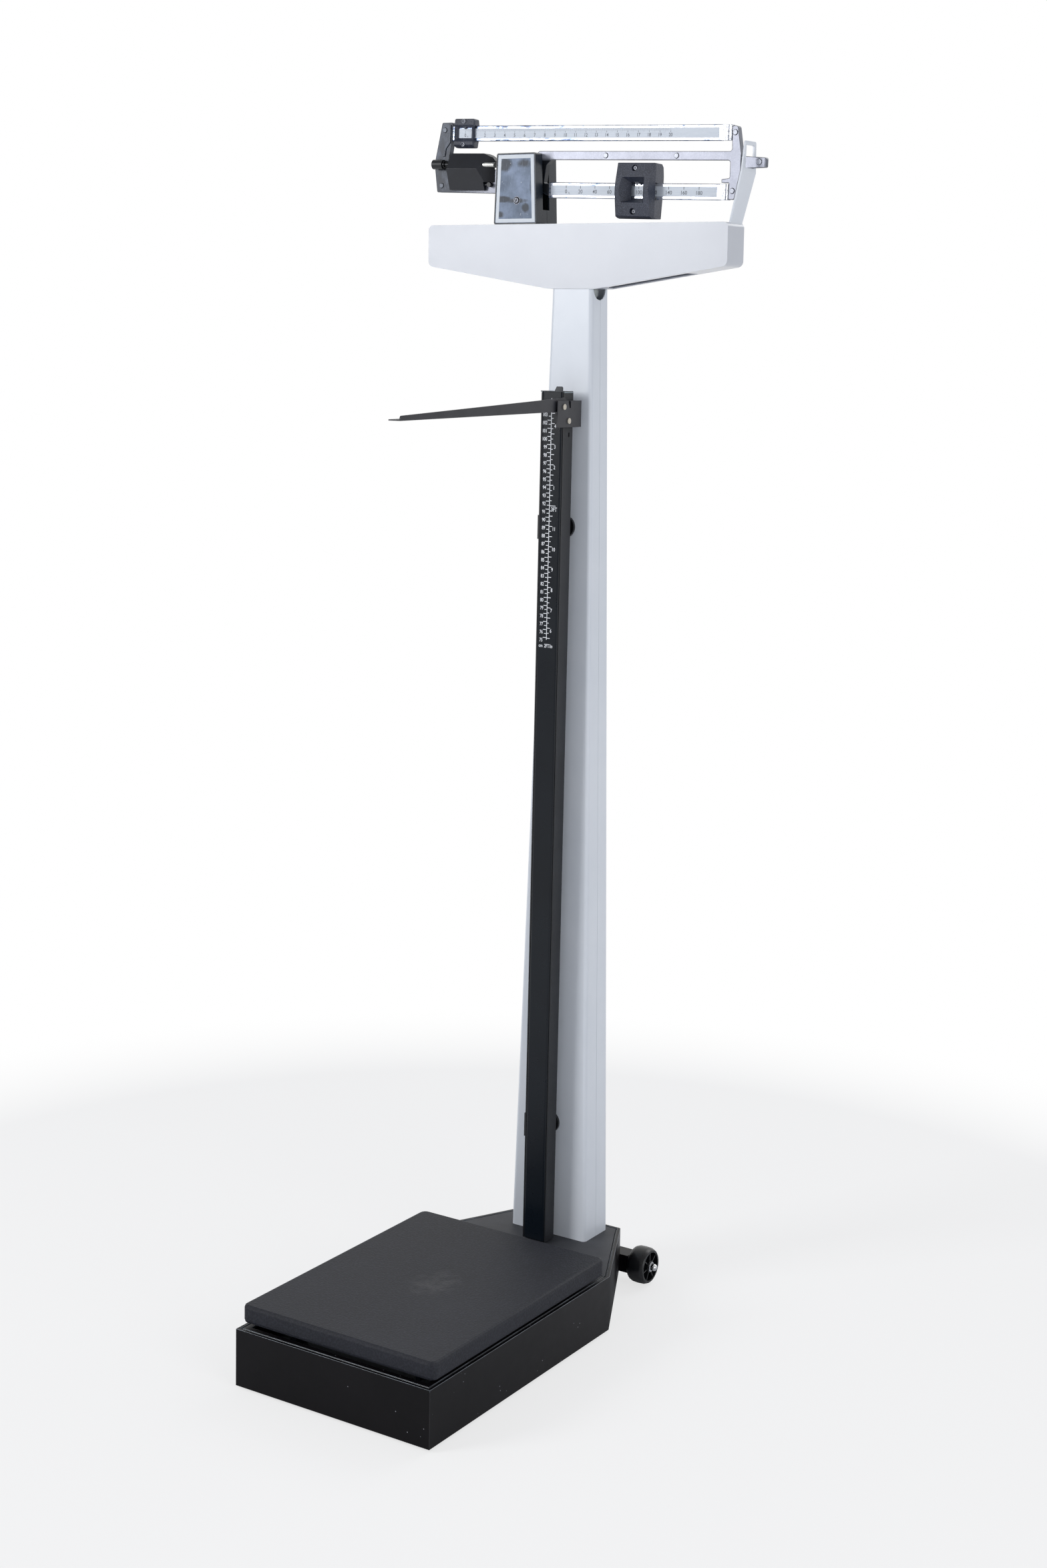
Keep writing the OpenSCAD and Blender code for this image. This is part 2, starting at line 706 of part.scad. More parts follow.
module head_bracket() color("#a2a6a8") placed() {
    y0 = col_back - col_d1 + col_t + seat_gap;
    difference() {
        union() {
            block([-18, y0, head_z - 38], [18, y0 + 2.5, head_z + 42]);
            for (sx = [-1, 1]) block([min(sx * 18, sx * 15.5), y0, head_z - 38], [max(sx * 18, sx * 15.5), y0 + 26, head_z + 30]);
            block([-18, head_front + head_t + seat_gap, head_z + 22], [18, y0 + 1, head_z + 42]);
        }
        for (sx = [-1, 1]) rod_x([sx * 17 - 4, col_mid - 5, head_z - 4], 4.02, 8);
    }
}

module head_bolts() color("#8f9699") placed() {
    for (sx = [-1, 1]) mirror([sx < 0 ? 1 : 0, 0, 0]) {
        rod_x([10, col_mid - 5, head_z - 4], 4, 9);
        translate([18.1, col_mid - 5, head_z - 4]) rotate([0, 90, 0]) cylinder(r = 7.5, h = 5.5, $fn = 6);
        rod_x([17.9, col_mid - 5, head_z - 4], 4, 1);
    }
}

// Outline of the head box in x and z, grown inwards by e
module head_outline(e) {
    drop = head_h - head_end_h;
    run = head_x - head_flat;
    slope_len = sqrt(drop * drop + run * run);
    flat = head_flat - e * (slope_len - run) / drop;
    end_up = e * (slope_len - drop) / run;
    polygon(rounded([
        [-head_x + e, head_top - e, head_r - e], [head_x - e, head_top - e, head_r - e],
        [head_x - e, head_z + drop + end_up, head_low_r - e], [flat, head_z + e, head_bend_r - e],
        [-flat, head_z + e, head_bend_r - e], [-head_x + e, head_z + drop + end_up, head_low_r - e]
    ]));
}

module head_box_front() color("#e3e6ec") placed() {
    difference() {
        plate_xz(head_front, head_back) head_outline(0);
        plate_xz(head_front + head_t, head_back + 1) head_outline(head_t);
        head_openings();
    }
}

// Openings of the head box: the column's mouth, the long openings in its underside and the link's hole
module head_openings() {
    block([-col_w1 / 2 - 1.2, head_front + head_t - 0.4, head_z - 3], [col_w1 / 2 + 1.2, head_back + 1, col_z1 + 1]);
    for (sx = [-1, 1]) block(
        [min(sx * 40, sx * 160), head_front + 7, head_z - 5],
        [max(sx * 40, sx * 160), head_back - 7, head_z + 24]
    );
    block([stand_x - load_arm - 9, beam_y - 11, head_top - 5], [stand_x - load_arm + 9, beam_y + 11, head_top + 5]);
    // The slot that the loop's plate comes up through
    block([loop_x - loop_gap, loop_foot[0] - loop_gap, head_top - 12], [loop_x + loop_t + loop_gap, loop_foot[1] + loop_gap, head_top + 1]);
}

module head_box_rear() color("#e3e6ec") placed() {
    difference() {
        plate_xz(head_back - head_t, head_back) head_outline(head_t + seat_gap);
        block([-col_w1 / 2 - 1.2, head_back - 10, head_z - 3], [col_w1 / 2 + 1.2, head_back + 1, col_z1 + 1]);
    }
    // Tabs that reach to the top flange
    for (x = [-150, -20, 110]) block(
        [x - 12, head_back - 12, head_top - 2 * head_t - seat_gap], [x + 12, head_back - head_t, head_top - head_t - seat_gap]
    );
}

// The loop's plate: thickness, clearance, its foot's place along x and its foot's width in y
loop_t = 2.2;
loop_gap = 0.3;
loop_x = head_x - head_t - loop_gap - loop_t;
loop_foot = [head_front + 9.9, head_back - head_t - seat_gap - 0.1];
loop_lean = 19.2;
loop_bend_z = head_top + 58;
loop_top_z = head_top + 94.7;

module trig_loop() color("#d3d8df") placed() {
    x1 = loop_x + loop_lean;
    t = loop_t;
    half = pointer_half(loop_u());
    lo = pointer_z(0) - half - 0.3;
    hi = pointer_z(beam_range) + half + 0.6;
    difference() {
        intersection() {
            // The bent plate seen from the front
            plate_xz(head_front - 5, head_back) polygon([
                [loop_x, head_top - 34], [loop_x + t, head_top - 34], [loop_x + t, head_top],
                [x1 + t, loop_bend_z], [x1 + t, loop_top_z], [x1, loop_top_z],
                [x1, loop_bend_z + 1], [loop_x, head_top + 1]
            ]);
            // Its outline seen from the end of the head box
            plate_yz(loop_x - 1, x1 + t + 1) polygon(rounded([
                [loop_foot[0], head_top - 34, 3], [loop_foot[1], head_top - 34, 3], [loop_foot[1], head_top + 2, 0],
                [beam_y + 9.4, loop_bend_z, 4], [beam_y + 8.4, loop_top_z, 2], [beam_y - 18, loop_top_z, 2],
                [beam_y - 25.9, loop_bend_z, 4], [loop_foot[0], head_top + 2, 0]
            ]));
        }
        // The window that the pointer moves in
        plate_yz(x1 - 4, x1 + t + 5) polygon(rounded([
            [beam_y - 17.4, lo, 1], [beam_y + pointer_t / 2 + 0.6, lo, 1], [beam_y + pointer_t / 2 + 0.6, hi, 1], [beam_y - 15.6, hi, 1]
        ]));
    }
}

// Height of the pointer's middle at the loop, with the beam raised by an angle
function pointer_z(up) =
    ful_z - loop_u() * sin(beam_tilt - up) + pointer_mid(loop_u()) * cos(beam_tilt - up);
function loop_u() = loop_x + loop_lean + loop_t / 2 - stand_x;

// Middle and half height of the pointer at a place along the beam
function pointer_mid(u) = pointer_w + (pointer_w1 - pointer_w) * (u - frame_right) / (pointer_u1 - frame_right);
function pointer_half(u) = (pointer_h0 + (pointer_h1 - pointer_h0) * (u - frame_right) / (pointer_u1 - frame_right)) / 2;

// Body of the beam stand, which widens towards its foot, grown inwards by e
module stand_body(e, y0, y1) {
    r = stand_r - min(e, stand_r - 0.5);
    plate_xz(y0, y1) polygon(rounded([
        [stand_x - stand_bot_w / 2 + e, head_top + e, r], [stand_x + stand_bot_w / 2 - e, head_top + e, r],
        [stand_x + stand_top_w / 2 - e, head_top + stand_h - e, r], [stand_x - stand_top_w / 2 + e, head_top + stand_h - e, r]
    ]));
}

// The slots of the stand that the beam passes through
module stand_slots() {
    half = cast_t / 2 + 3.5;
    block([stand_x - 40, beam_y - half, head_top + 18], [stand_x + 40, beam_y + half, head_top + stand_h - 5]);
    block([stand_x + 13, beam_y - half, head_top + 50], [stand_x + 40, beam_y + half, head_top + stand_h + 5]);
    block([stand_x - load_arm - 9, beam_y - 11, head_top - 5], [stand_x - load_arm + 9, beam_y + 11, head_top + 5]);
}

module stand_front() color("#1d1e21") placed() {
    difference() {
        stand_body(0, stand_front, stand_seam - 0.15);
        stand_body(stand_t, stand_front + stand_t, stand_seam);
        stand_slots();
        // The seat of the front plate and its screw
        stand_panel(0.1, stand_front - 1, stand_front + 1);
        rod_y([stand_screw_x, stand_front - 1, stand_screw_z], 2.05, 10);
        // Room for the bearing bracket's foot
        block([stand_x - 18, stand_front + stand_t, head_top - 1], [stand_x + 18, stand_seam + 1, head_top + stand_t + 1]);
    }
}

module stand_rear() color("#1d1e21") placed() {
    difference() {
        stand_body(0, stand_seam + 0.15, stand_back);
        stand_body(stand_t, stand_seam - 1, stand_back - stand_t);
        stand_slots();
        block([stand_x - 18, stand_seam - 1, head_top - 1], [stand_x + 18, head_back - 1, head_top + stand_t + 1]);
    }
}

// The front plate's outline, grown by g
module stand_panel(g, y0, y1) {
    stand_body(stand_inset - g, y0, y1);
}

// Place of the front plate's screw
stand_screw_x = stand_x + 2;
stand_screw_z = head_top + 29.7;

module stand_plate() color("#7e8692") placed() {
    difference() {
        stand_panel(0, stand_front + 0.3, stand_front + 1);
        rod_y([stand_screw_x, stand_front - 1, stand_screw_z], 2.05, 10);
    }
}

module stand_screw() color("#c9cbce") placed() {
    rod_y([stand_screw_x, stand_front - 1.3, stand_screw_z], 4, 1.55);
    rod_y([stand_screw_x, stand_front, stand_screw_z], 2, 6);
}

module fulcrum_bracket() color("#5f6266") placed() {
    z0 = head_top + seat_gap;
    difference() {
        union() {
            block([stand_x - 16, head_front + 5, z0], [stand_x + 16, head_back - 3, z0 + 3]);
            for (y = [[beam_y - 15, beam_y - 8.5], [beam_y + 8.5, beam_y + 12.5]])
                block([stand_x - 7, y[0], z0 + 2], [stand_x + 7, y[1], ful_z + 1.5]);
        }
        knife_y([stand_x, beam_y, ful_z], knife_s + 2 * knife_gap, 60);
        block([stand_x - 4.4, beam_y - 30, ful_z], [stand_x + 4.4, beam_y + 30, ful_z + 5]);
        block([stand_x - load_arm - 9, beam_y - 11, z0 - 1], [stand_x - load_arm + 9, beam_y + 11, z0 + 5]);
    }
}

module rod_channel() color("#3a3b3f") on_rod() {
    h = rod_top - rod_z0;
    difference() {
        translate([0, 0, rod_z0]) linear_extrude(h) channel_section();
        // The slot of the catch in the right wall
        block([rod_w / 2 - rod_t - 1, 10, rod_top - 55], [rod_w / 2 + 1, 12.6, rod_top - 49.5]);
    }
}

module channel_section() {
    difference() {
        translate([-rod_w / 2, 0]) square([rod_w, rod_d]);
        translate([-rod_w / 2 + rod_t, rod_lip_y + 1.2]) square([rod_w - 2 * rod_t, rod_d - rod_t - rod_lip_y - 1.2]);
        translate([-rod_w / 2 + rod_t + 1.2, -1]) square([rod_w - 2 * rod_t - 2.4, rod_d - rod_t + 1]);
        translate([-rod_w / 2 + rod_t, -1]) square([rod_w - 2 * rod_t, rod_lip_y + 1]);
    }
}

// Where the channel's small inward lips start behind its front edge
rod_lip_y = 1;

module rod_clips() color("#131416") on_rod() {
    for (z = clip_z) translate([0, 0, z]) {
        gap = clip_reach(z);
        // The saddle behind the channel, with its lip round the left wall
        block([-rod_w / 2 - 3.2, rod_d + 0.02, -15], [rod_w / 2 - 8, rod_d + 2.4, 15]);
        block([-rod_w / 2 - 3.2, 2.5, -15], [-rod_w / 2 - 0.2, rod_d + 1, 15]);
        // The round stand-off to the column's front
        rod_y([0, rod_d + 2, 0], 9, gap - 4);
        rod_y([0, rod_d + gap - 4, 0], 14, 4 - 0.25);
    }
}

// Distance from the channel's back to the column's front at a height, in the rod's frame
function clip_reach(z) =
    (col_back - col_depth(z) - rod_front) * cos(rod_lean) - (z - rim_z) * sin(rod_lean) - rod_d;
function col_depth(z) = col_d0 + (col_d1 - col_d0) * (z - col_z0) / (col_z1 - col_z0);

// Section of the inner rod in x and y: a box with round front edges and a groove in each side
module inner_section(w, y0, y1) {
    difference() {
        union() {
            translate([-w / 2, y0 + inner_r]) square([w, y1 - y0 - inner_r]);
            translate([-w / 2 + inner_r, y0]) square([w - 2 * inner_r, inner_r + 1]);
            for (sx = [-1, 1]) translate([sx * (w / 2 - inner_r), y0 + inner_r]) circle(inner_r);
        }
        for (sx = [-1, 1]) translate([sx * w / 2 - 1.5, rod_lip_y - 0.4]) square([3, 2]);
    }
}

module inner_rod() color("#1b1d21") on_rod() {
    y0 = -inner_proud;
    y1 = rod_d - rod_t - inner_gap;
    translate([0, 0, inner_bottom]) linear_extrude(rod_top - inner_bottom) difference() {
        inner_section(inner_w, y0, y1);
        translate([-inner_w / 2 + 3, y0 + inner_t]) square([inner_w - 6, y1 - y0 - 2 * inner_t]);
    }
}

module rod_cap() color("#222428") on_rod() {
    block([-rod_w / 2, -inner_proud - 0.4, rod_top + 0.1], [rod_w / 2, rod_d, rod_top + 1.3]);
    block([-inner_w / 2 + 3.3, inner_t - inner_proud + 0.3, rod_top - 14], [inner_w / 2 - 3.3, rod_d - rod_t - inner_gap - inner_t - 0.3, rod_top + 0.6]);
    // The finger tab
    plate_xz(-inner_proud - 0.4, -inner_proud + 1.2)
        polygon([[3, rod_top + 1], [6, rod_top + 7], [13.4, rod_top + 7], [14.8, rod_top + 5.6], [14.8, rod_top + 1]]);
}

module slider_bracket() color("#45474c") on_rod() {
    zt = rod_top - 10;
    x0 = rod_w / 2 + slide_gap;
    difference() {
        union() {
            // The shoe that hugs the channel's right wall
            difference() {
                block([x0 - 4.5, -inner_proud - 2.2, zt - slider_h], [x0 + slider_t, rod_d + 2, zt - 14]);
                block([x0 - 10, -inner_proud - slide_gap, zt - slider_h - 1], [x0, rod_d + slide_gap, zt + 1]);
            }
            block([x0, -inner_proud - 2.2, zt - 15], [x0 + slider_t, rod_d + 2, zt]);
            // The ear behind the arm's pivot
            block([x0, arm_pivot_y - 7, zt - slider_h + 12], [x0 + slider_t, 0, zt - 0.4]);
            // The outer plate
            plate_yz(slider_x, slider_x + slider_t) polygon([
                [-26.6, zt - slider_h], [27.8, zt - slider_h], [27.8, zt], [3.2, zt], [3.2, zt - 9],
                [0.6, zt - 9], [-2.4, zt], [-26.6, zt]
            ]);
            // The spacer boss round the lower rivet
            rod_x([x0, slider_rivet_at[1][0], slider_rivet_at[1][1]], 4.5, slider_x - x0 + 0.1);
        }
        for (p = slider_rivet_at) rod_x([x0 - 1, p[0], p[1]], 2.52, slider_x);
    }
}

// The two rivets of the slider in the rod's y and z: the upper one is the arm's pivot
slider_rivet_at = [[arm_pivot_y, arm_pivot_z], [-1.2, arm_pivot_z - 17.3]];

module slider_rivets() color("#b7b2a8") on_rod() {
    x0 = rod_w / 2 + slide_gap;
    for (p = slider_rivet_at) {
        rod_x([x0 + 0.1, p[0], p[1]], 2.5, slider_x + slider_t - x0 + 0.3);
        rod_x([slider_x + slider_t + 0.1, p[0], p[1]], 3.6, 1.2);
    }
}

// Height of the arm's lower edge at a place along it, in the rod's frame
function arm_low(y) = arm_pivot_z - 6.1 - (arm_pivot_y - y) * 6.6 / arm_l;

module measuring_arm() color("#4a4c51") on_rod() {
    x0 = rod_w / 2 + slide_gap + slider_t + 0.4;
    py = arm_pivot_y;
    pz = arm_pivot_z;
    tip = py - arm_l;
    difference() {
        union() {
            // The tapered web
            plate_yz(x0, x0 + arm_t) {
                polygon(rounded([
                    [py, arm_low(py), 0], [py, pz + 10.6, 0], [tip + 1.4, pz - 7, 3], [tip, arm_low(tip), 0]
                ]));
                translate([py + 4, pz + 2.4]) circle(9);
            }
            // The flange along its lower edge
            plate_yz(x0 + arm_t - arm_flange, x0 + arm_t) polygon([
                [py - 14, arm_low(py - 14)], [py - 14, arm_low(py - 14) + 1.4],
                [tip, arm_low(tip) + 1.4], [tip, arm_low(tip)]
            ]);
        }
        rod_x([x0 - 3, py, pz], 2.5 + run_fit, 10);
    }
}
arm_flange = 16;

// Outline of the cast beam frame in the beam's x and z
module beam_outline() {
    mid_top = mid_w + mid_h / 2;
    mid_low = mid_w - mid_h / 2;
    tab = lower_w + bar_h / 2 + 1;
    polygon(rounded([
        // left upright
        [-133, beam_z0 + 0.9, 2], [frame_left, frame_left_w, 3], [frame_left, frame_left_w + 10, 3], [-128.4, 66.7, 2],
        [-112.7, 67, 1.5], [-112.8, 44.7, 2], [-116.9, 19.4, 4], [-118.5, 8, 4],
        // lower left arm and hub
        [-40, 8, 4], [-30, 12, 6], [-16, 16, 6], [8, 17.5, 5], [15, 20, 2], [17.5, 24, 2], [19, 29, 1], [22, mid_top, 1],
        // middle bar and right upright
        [294.6, mid_top, 3.3], [293.3, 61.5, 2.5], [301, 60.8, 3], [frame_right, 28.3, 2.5], [frame_right, 8, 6],
        [300.1, -25.8, 2.5], [292, -25.9, 1.5], [292.4, tab, 0.8],
        // the tab over the lower bar
        [282.4, tab, 0.8], [282.1, tab + 4.4, 1], [293, tab + 5.6, 2], [292.8, mid_low, 3.5],
        // back along the middle bar
        [40, mid_low, 4], [33, 14, 3], [30, lower_w + 8, 2], [lower_left - 0.4, lower_w + 8, 1], [lower_left - 0.4, lower_w - 7, 1],
        [24, -18, 4], [16, beam_z0 + 1, 4], [8, beam_z0, 4]
    ]));
}

module beam_frame() color("#8b9098") on_beam() {
    h = cast_t / 2;
    difference() {
        union() {
            plate_xz(-h, h) beam_outline();
            // The boss of the adjusting screw and its web
            rod_x([-135, screw_y, screw_w], boss_r, 15.4);
            block([-133.5, screw_y, screw_w - 5], [-122, 0, screw_w + 5]);
            // The rib on the upright's inner edge
            plate_xz(-h - 1.4, 0) polygon([[-118, 64], [-114.5, 64], [-114.5, 42], [-121, 34], [-122.5, 24], [-125.6, 24], [-123, 38], [-118, 44]]);
            // The hub round the knives
            rod_y([0, -h - 1, 0], 12, 2 * h + 2);
        }
        knife_y([0, 0, 0], knife_s + 0.04, 60);
        knife_y([-load_arm, 0, 0], 5.04, 60);
        rod_x([-145, screw_y, screw_w], screw_r + run_fit, 30);
        rod_y([post_u, -20, guide_w], post_shank_r + 0.02, 40);
        for (p = frame_rivets) rod_y([p[0], -20, p[1]], 2.02, 40);
    }
}

// Rivets in the frame: the bars' ends and the middle bar
frame_rivets = [
    [-124, 57.4], [-126.3, -13], [297.7, 53.3], [297.2, -15.6], [119, mid_w], [219, mid_w]
];

module beam_rivets() color("#9ea3aa") on_beam() {
    for (p = frame_rivets) {
        rod_y([p[0], -cast_t / 2 - 1, p[1]], 2, cast_t + 2);
        rod_y([p[0], -cast_t / 2 - 1.1, p[1]], 2.8, 1.05);
        rod_y([p[0], cast_t / 2 + 0.05, p[1]], 2.8, 1.05);
    }
    // The rivet in the pointer
    rod_y([pointer_rivet[0], -pointer_t / 2 - 1, pointer_rivet[1]], 1.5, pointer_t + 2);
    for (y = [-pointer_t / 2 - 1.05, pointer_t / 2 + 0.05]) rod_y([pointer_rivet[0], y, pointer_rivet[1]], 3.3, 1);
}

module beam_knives() color("#a5a8ac") on_beam() {
    knife_y([0, 0, 0], knife_s, 24.5);
    knife_y([-load_arm, 0, 0], 5, 20);
}

pointer_rivet = [330.9, 18.8];

module pointer() color("#6e7278") on_beam() {
    t = pointer_t / 2;
    difference() {
        intersection() {
            plate_xz(-10, 10) polygon(rounded([
                [frame_right, pointer_w - pointer_h0 / 2, 0], [pointer_u1, pointer_w1 - pointer_h1 / 2, pointer_r],
                [pointer_u1, pointer_w1 + pointer_h1 / 2, pointer_r], [frame_right, pointer_w + pointer_h0 / 2, 0]
            ]));
            // Seen from above: the tip's edges are round
            translate([0, 0, -10]) linear_extrude(60) polygon(rounded([
                [frame_right, -t, 0], [pointer_u1, -t, pointer_nose], [pointer_u1, t, pointer_nose], [frame_right, t, 0]
            ]));
        }
        rod_y([pointer_rivet[0], -10, pointer_rivet[1]], 1.52, 20);
    }
}

// A bar with bevelled front edges
module beam_bar(u0, u1, w) {
    b = 1.2;
    plate_yz(u0, u1) translate([0, w]) polygon([
        [-bar_t / 2, -bar_h / 2 + b], [-bar_t / 2 + b, -bar_h / 2], [bar_t / 2 - b, -bar_h / 2], [bar_t / 2, -bar_h / 2 + b],
        [bar_t / 2, bar_h / 2 - b], [bar_t / 2 - b, bar_h / 2], [-bar_t / 2 + b, bar_h / 2], [-bar_t / 2, bar_h / 2 - b]
    ]);
}

upper_right = 279.3;
lower_right = 280;
upper_left = -112.3;
lower_left = 37.4;

module upper_bar() color("#dfe2e6") on_beam() beam_bar(upper_left, upper_right, upper_w);

module lower_bar() color("#dfe2e6") on_beam() beam_bar(lower_left, lower_right, lower_w);

module upper_scale_strip() color("#eef0f4") on_beam()
    block([upper_left + 4, -bar_t / 2 - strip_t, upper_w - strip_h / 2], [upper_right - 4, -bar_t / 2, upper_w + strip_h / 2]);

module lower_scale_strip() color("#eef0f4") on_beam()
    block([lower_left + 3, -bar_t / 2 - strip_t, lower_w - strip_h / 2], [lower_right - 4, -bar_t / 2, lower_w + strip_h / 2]);

// The clamps that hold the bars' right ends, each with a narrower collar at the upright
module bar_end_clamps() color("#26282c") on_beam() {
    bar_clamp(upper_right + 0.1, 288.4, 292.8, upper_w);
    bar_clamp(lower_right + 0.1, 288.2, 291.6, lower_w);
}

module bar_clamp(u0, u1, u2, w) {
    h = bar_h / 2 - 0.4;
    t = bar_t / 2 + 0.8;
    block([u0, -t, w - h], [u1, t, w + h]);
    block([u1 - 0.1, -t + 0.9, w - h + 0.9], [u1 + 1.2, t - 0.9, w + h - 0.9]);
    block([u1 + 1.1, -t, w - h], [u2, t, w + h]);
}

// A sliding weight: half width at its seam and at its faces, the seam's y, the side views of its halves in y and z,
// the window's half width in front and at the seam, its upper and its lower edge in front and at the seam,
// the screws' heights, the screws' counterbore radius and head radius, and the index's half width and height
small = [
    15, 14.2, -4, [[-6.5, 18.3], [-9.2, 0], [-8, -14.8], [-4, -17.3]],
    [[-4, -17.3], [-2, -18.5], [4.1, -18.5], [8.5, 0.5], [4.9, 17.3]], 18.4,
    [13.2, 9.9], [9.6, 7], [-8.8, -6], [15.1, -14.1], 2.6, 2.1, [2, 1.6]
];
large = [
    25.3, 23.65, -7.5, [[-14.5, 33.5], [-22.4, 1.2], [-15.8, -31.3], [-7.5, -34]],
    [[-7.5, -34], [12, -33.1], [16.2, 13], [13.4, 29.7], [9, 33.4]], 34,
    [16.4, 8.1], [16.9, 10], [-14.9, -10.3], [27.3, -25.1], 3.9, 2.9, [3.4, 3]
];
poise_edge = 1.5;
poise_corner = 2.5;

// Least and greatest y of a sliding weight
function poise_front_y(p) = min([for (q = p[3]) q[0]]);
function poise_rear_y(p) = max([for (q = p[4]) q[0]]);

// One half of a sliding weight about its own centre; the bar runs in the rear half, closed by the front half
module poise_half(p, front) {
    gap = slide_gap;
    seam = p[2];
    y0 = poise_front_y(p);
    y1 = poise_rear_y(p);
    z0 = min([for (q = p[4]) q[1]]);
    far = front ? y0 : y1;
    r = poise_edge;
    difference() {
        intersection() {
            // Seen from the side
            plate_yz(-p[0], p[0]) polygon(rounded(concat(
                [[seam, p[5], 0]],
                [for (i = [0:len(front ? p[3] : p[4]) - 1]) let (q = (front ? p[3] : p[4])[i]) [q[0], q[1], q[0] == seam ? 0 : r]]
            )));
            // Seen from above
            translate([0, 0, -50]) linear_extrude(100) polygon(rounded([
                [-p[0], seam, 0], [p[0], seam, 0], [p[1], far, r], [-p[1], far, r]
            ]));
            // Seen from the front
            plate_xz(y0 - 1, y1 + 1) polygon(rounded([
                [-p[0], z0, poise_corner], [p[0], z0, poise_corner], [p[0], p[5], poise_corner], [-p[0], p[5], poise_corner]
            ]));
        }
        if (front) poise_window(p, y0);
        else block([-p[0] - 1, seam - 1, -bar_h / 2 - gap], [p[0] + 1, bar_t / 2 + gap, bar_h / 2 + gap]);
        for (z = p[9]) rod_y([0, y0 - 5, z], screw_hole, bar_t / 2 + 3 - y0 + 5);
        if (front) for (z = p[9]) rod_y([0, y0 - 5, z], p[10], poise_seat(p) - y0 + 5);
    }
    // The index that points down at the strip
    if (front) plate_xz(seam - 1.4, seam - 0.02) polygon([
        [-p[12][0] - 0.6, p[7][1] + 1.4], [p[12][0] + 0.6, p[7][1] + 1.4], [0.2, p[7][1] - p[12][1]], [-0.2, p[7][1] - p[12][1]]
    ]);
}

screw_hole = 1.52;

// The y at which the screws' heads sit
function poise_seat(p) = p[2] - (p[2] - poise_front_y(p)) * 0.33;

// The window narrows towards the seam
module poise_window(p, y0) {
    seam = p[2];
    k = (y0 - 2 - seam) / (y0 + 2.5 - seam);
    x2 = p[6][1] + (p[6][0] - p[6][1]) * k;
    hi2 = p[7][1] + (p[7][0] - p[7][1]) * k;
    lo2 = p[8][1] + (p[8][0] - p[8][1]) * k;
    intersection() {
        translate([0, 0, -50]) linear_extrude(100) polygon([
            [-p[6][1], seam + 1], [p[6][1], seam + 1], [p[6][1], seam], [x2, y0 - 2], [-x2, y0 - 2], [-p[6][1], seam]
        ]);
        plate_yz(-p[0], p[0]) polygon([
            [seam + 1, p[7][1]], [seam + 1, p[8][1]], [seam, p[8][1]], [y0 - 2, lo2], [y0 - 2, hi2], [seam, p[7][1]]
        ]);
    }
}

module poise_screws(p) {
    seat = poise_seat(p);
    for (z = p[9]) {
        rod_y([0, seat - 1, z], 1.5, bar_t / 2 + 3.5 - seat);
        rod_y([0, seat - 1.9, z], p[11], 1.85);
    }
}

module small_poise_front() color("#232427") on_beam() translate([fine_zero, 0, upper_w]) poise_half(small, true);

module small_poise_rear() color("#232427") on_beam() translate([fine_zero, 0, upper_w]) poise_half(small, false);

module small_poise_screws() color("#9fa2a6") on_beam() translate([fine_zero, 0, upper_w]) poise_screws(small);

module large_poise_front() color("#3b3d42") on_beam() translate([coarse_hundred, 0, lower_w]) poise_half(large, true);

module large_poise_rear() color("#3b3d42") on_beam() translate([coarse_hundred, 0, lower_w]) poise_half(large, false);

module large_poise_screws() color("#9fa2a6") on_beam() translate([coarse_hundred, 0, lower_w]) poise_screws(large);

module counterweight() color("#1a1b1e") on_beam() {
    f = -18;
    b = -cast_t / 2 - 0.4;
    right = -44.4;
    notch_u = post_u - post_r - weight_travel - 0.6;
    notch_w = guide_w + post_r + 0.3;
    difference() {
        intersection() {
            // Seen from the front, with a notch over the guide's post
            plate_xz(f - 1, 20) polygon(rounded([
                [-110.6, -18.6, 1], [-110.6, 28, 1.5], [-61.5, 28, 1.5], [-46.6, 23, 1.5], [right, 19, 1.5],
                [right, notch_w, 1], [notch_u, notch_w, 0.5], [notch_u, -18.6, 1]
            ]));
            // Seen from the side: the front leans back above and below its fold
            plate_yz(-112, -40) polygon(rounded([
                [f, 8, 0.6], [-6, 28, 1.5], [9, 28, 1.5], [9, 10.4, 0.5], [b, 10.4, 0], [b, -18.6, 0.5], [-8.5, -18.6, 1]
            ]));
            // Seen from above: the front right edge is cut off
            translate([0, 0, -30]) linear_extrude(70)
                polygon([[-112, f - 1], [-65.4, f - 1], [-63.9, f], [right, -5], [right, 0], [-56, 9], [-112, 9]]);
        }
        rod_x([-120, screw_y, screw_w], screw_r + run_fit, 90);
        rod_x([-110.6 + weight_travel + 2, guide_y, guide_w], guide_r + run_fit, 90);
    }
}

module adjusting_screw() color("#c4c7cb") on_beam() {
    difference() {
        union() {
            rod_x([-134.5, screw_y, screw_w], screw_r, 134.5 - 41);
            rod_x([-119.2, screw_y, screw_w], 4.6, 2.2);
        }
        block([-43, screw_y - 0.5, screw_w - 5], [-40, screw_y + 0.5, screw_w + 5]);
    }
}

// The rod that keeps the counterweight level, held by a turned post in the frame
module guide_rod() color("#b0b3b8") on_beam() {
    rod_x([-110.6 + 2 * weight_travel + 3, guide_y, guide_w], guide_r, post_u + 110.6 - 2 * weight_travel - 3);
    rod_y([post_u, guide_y - guide_r - 1.2, guide_w], post_r, guide_r + 1.2 - guide_y - cast_t / 2 - 0.05);
    rod_y([post_u, -cast_t / 2 - 1, guide_w], post_shank_r, cast_t + 1.5);
}
post_shank_r = 2;

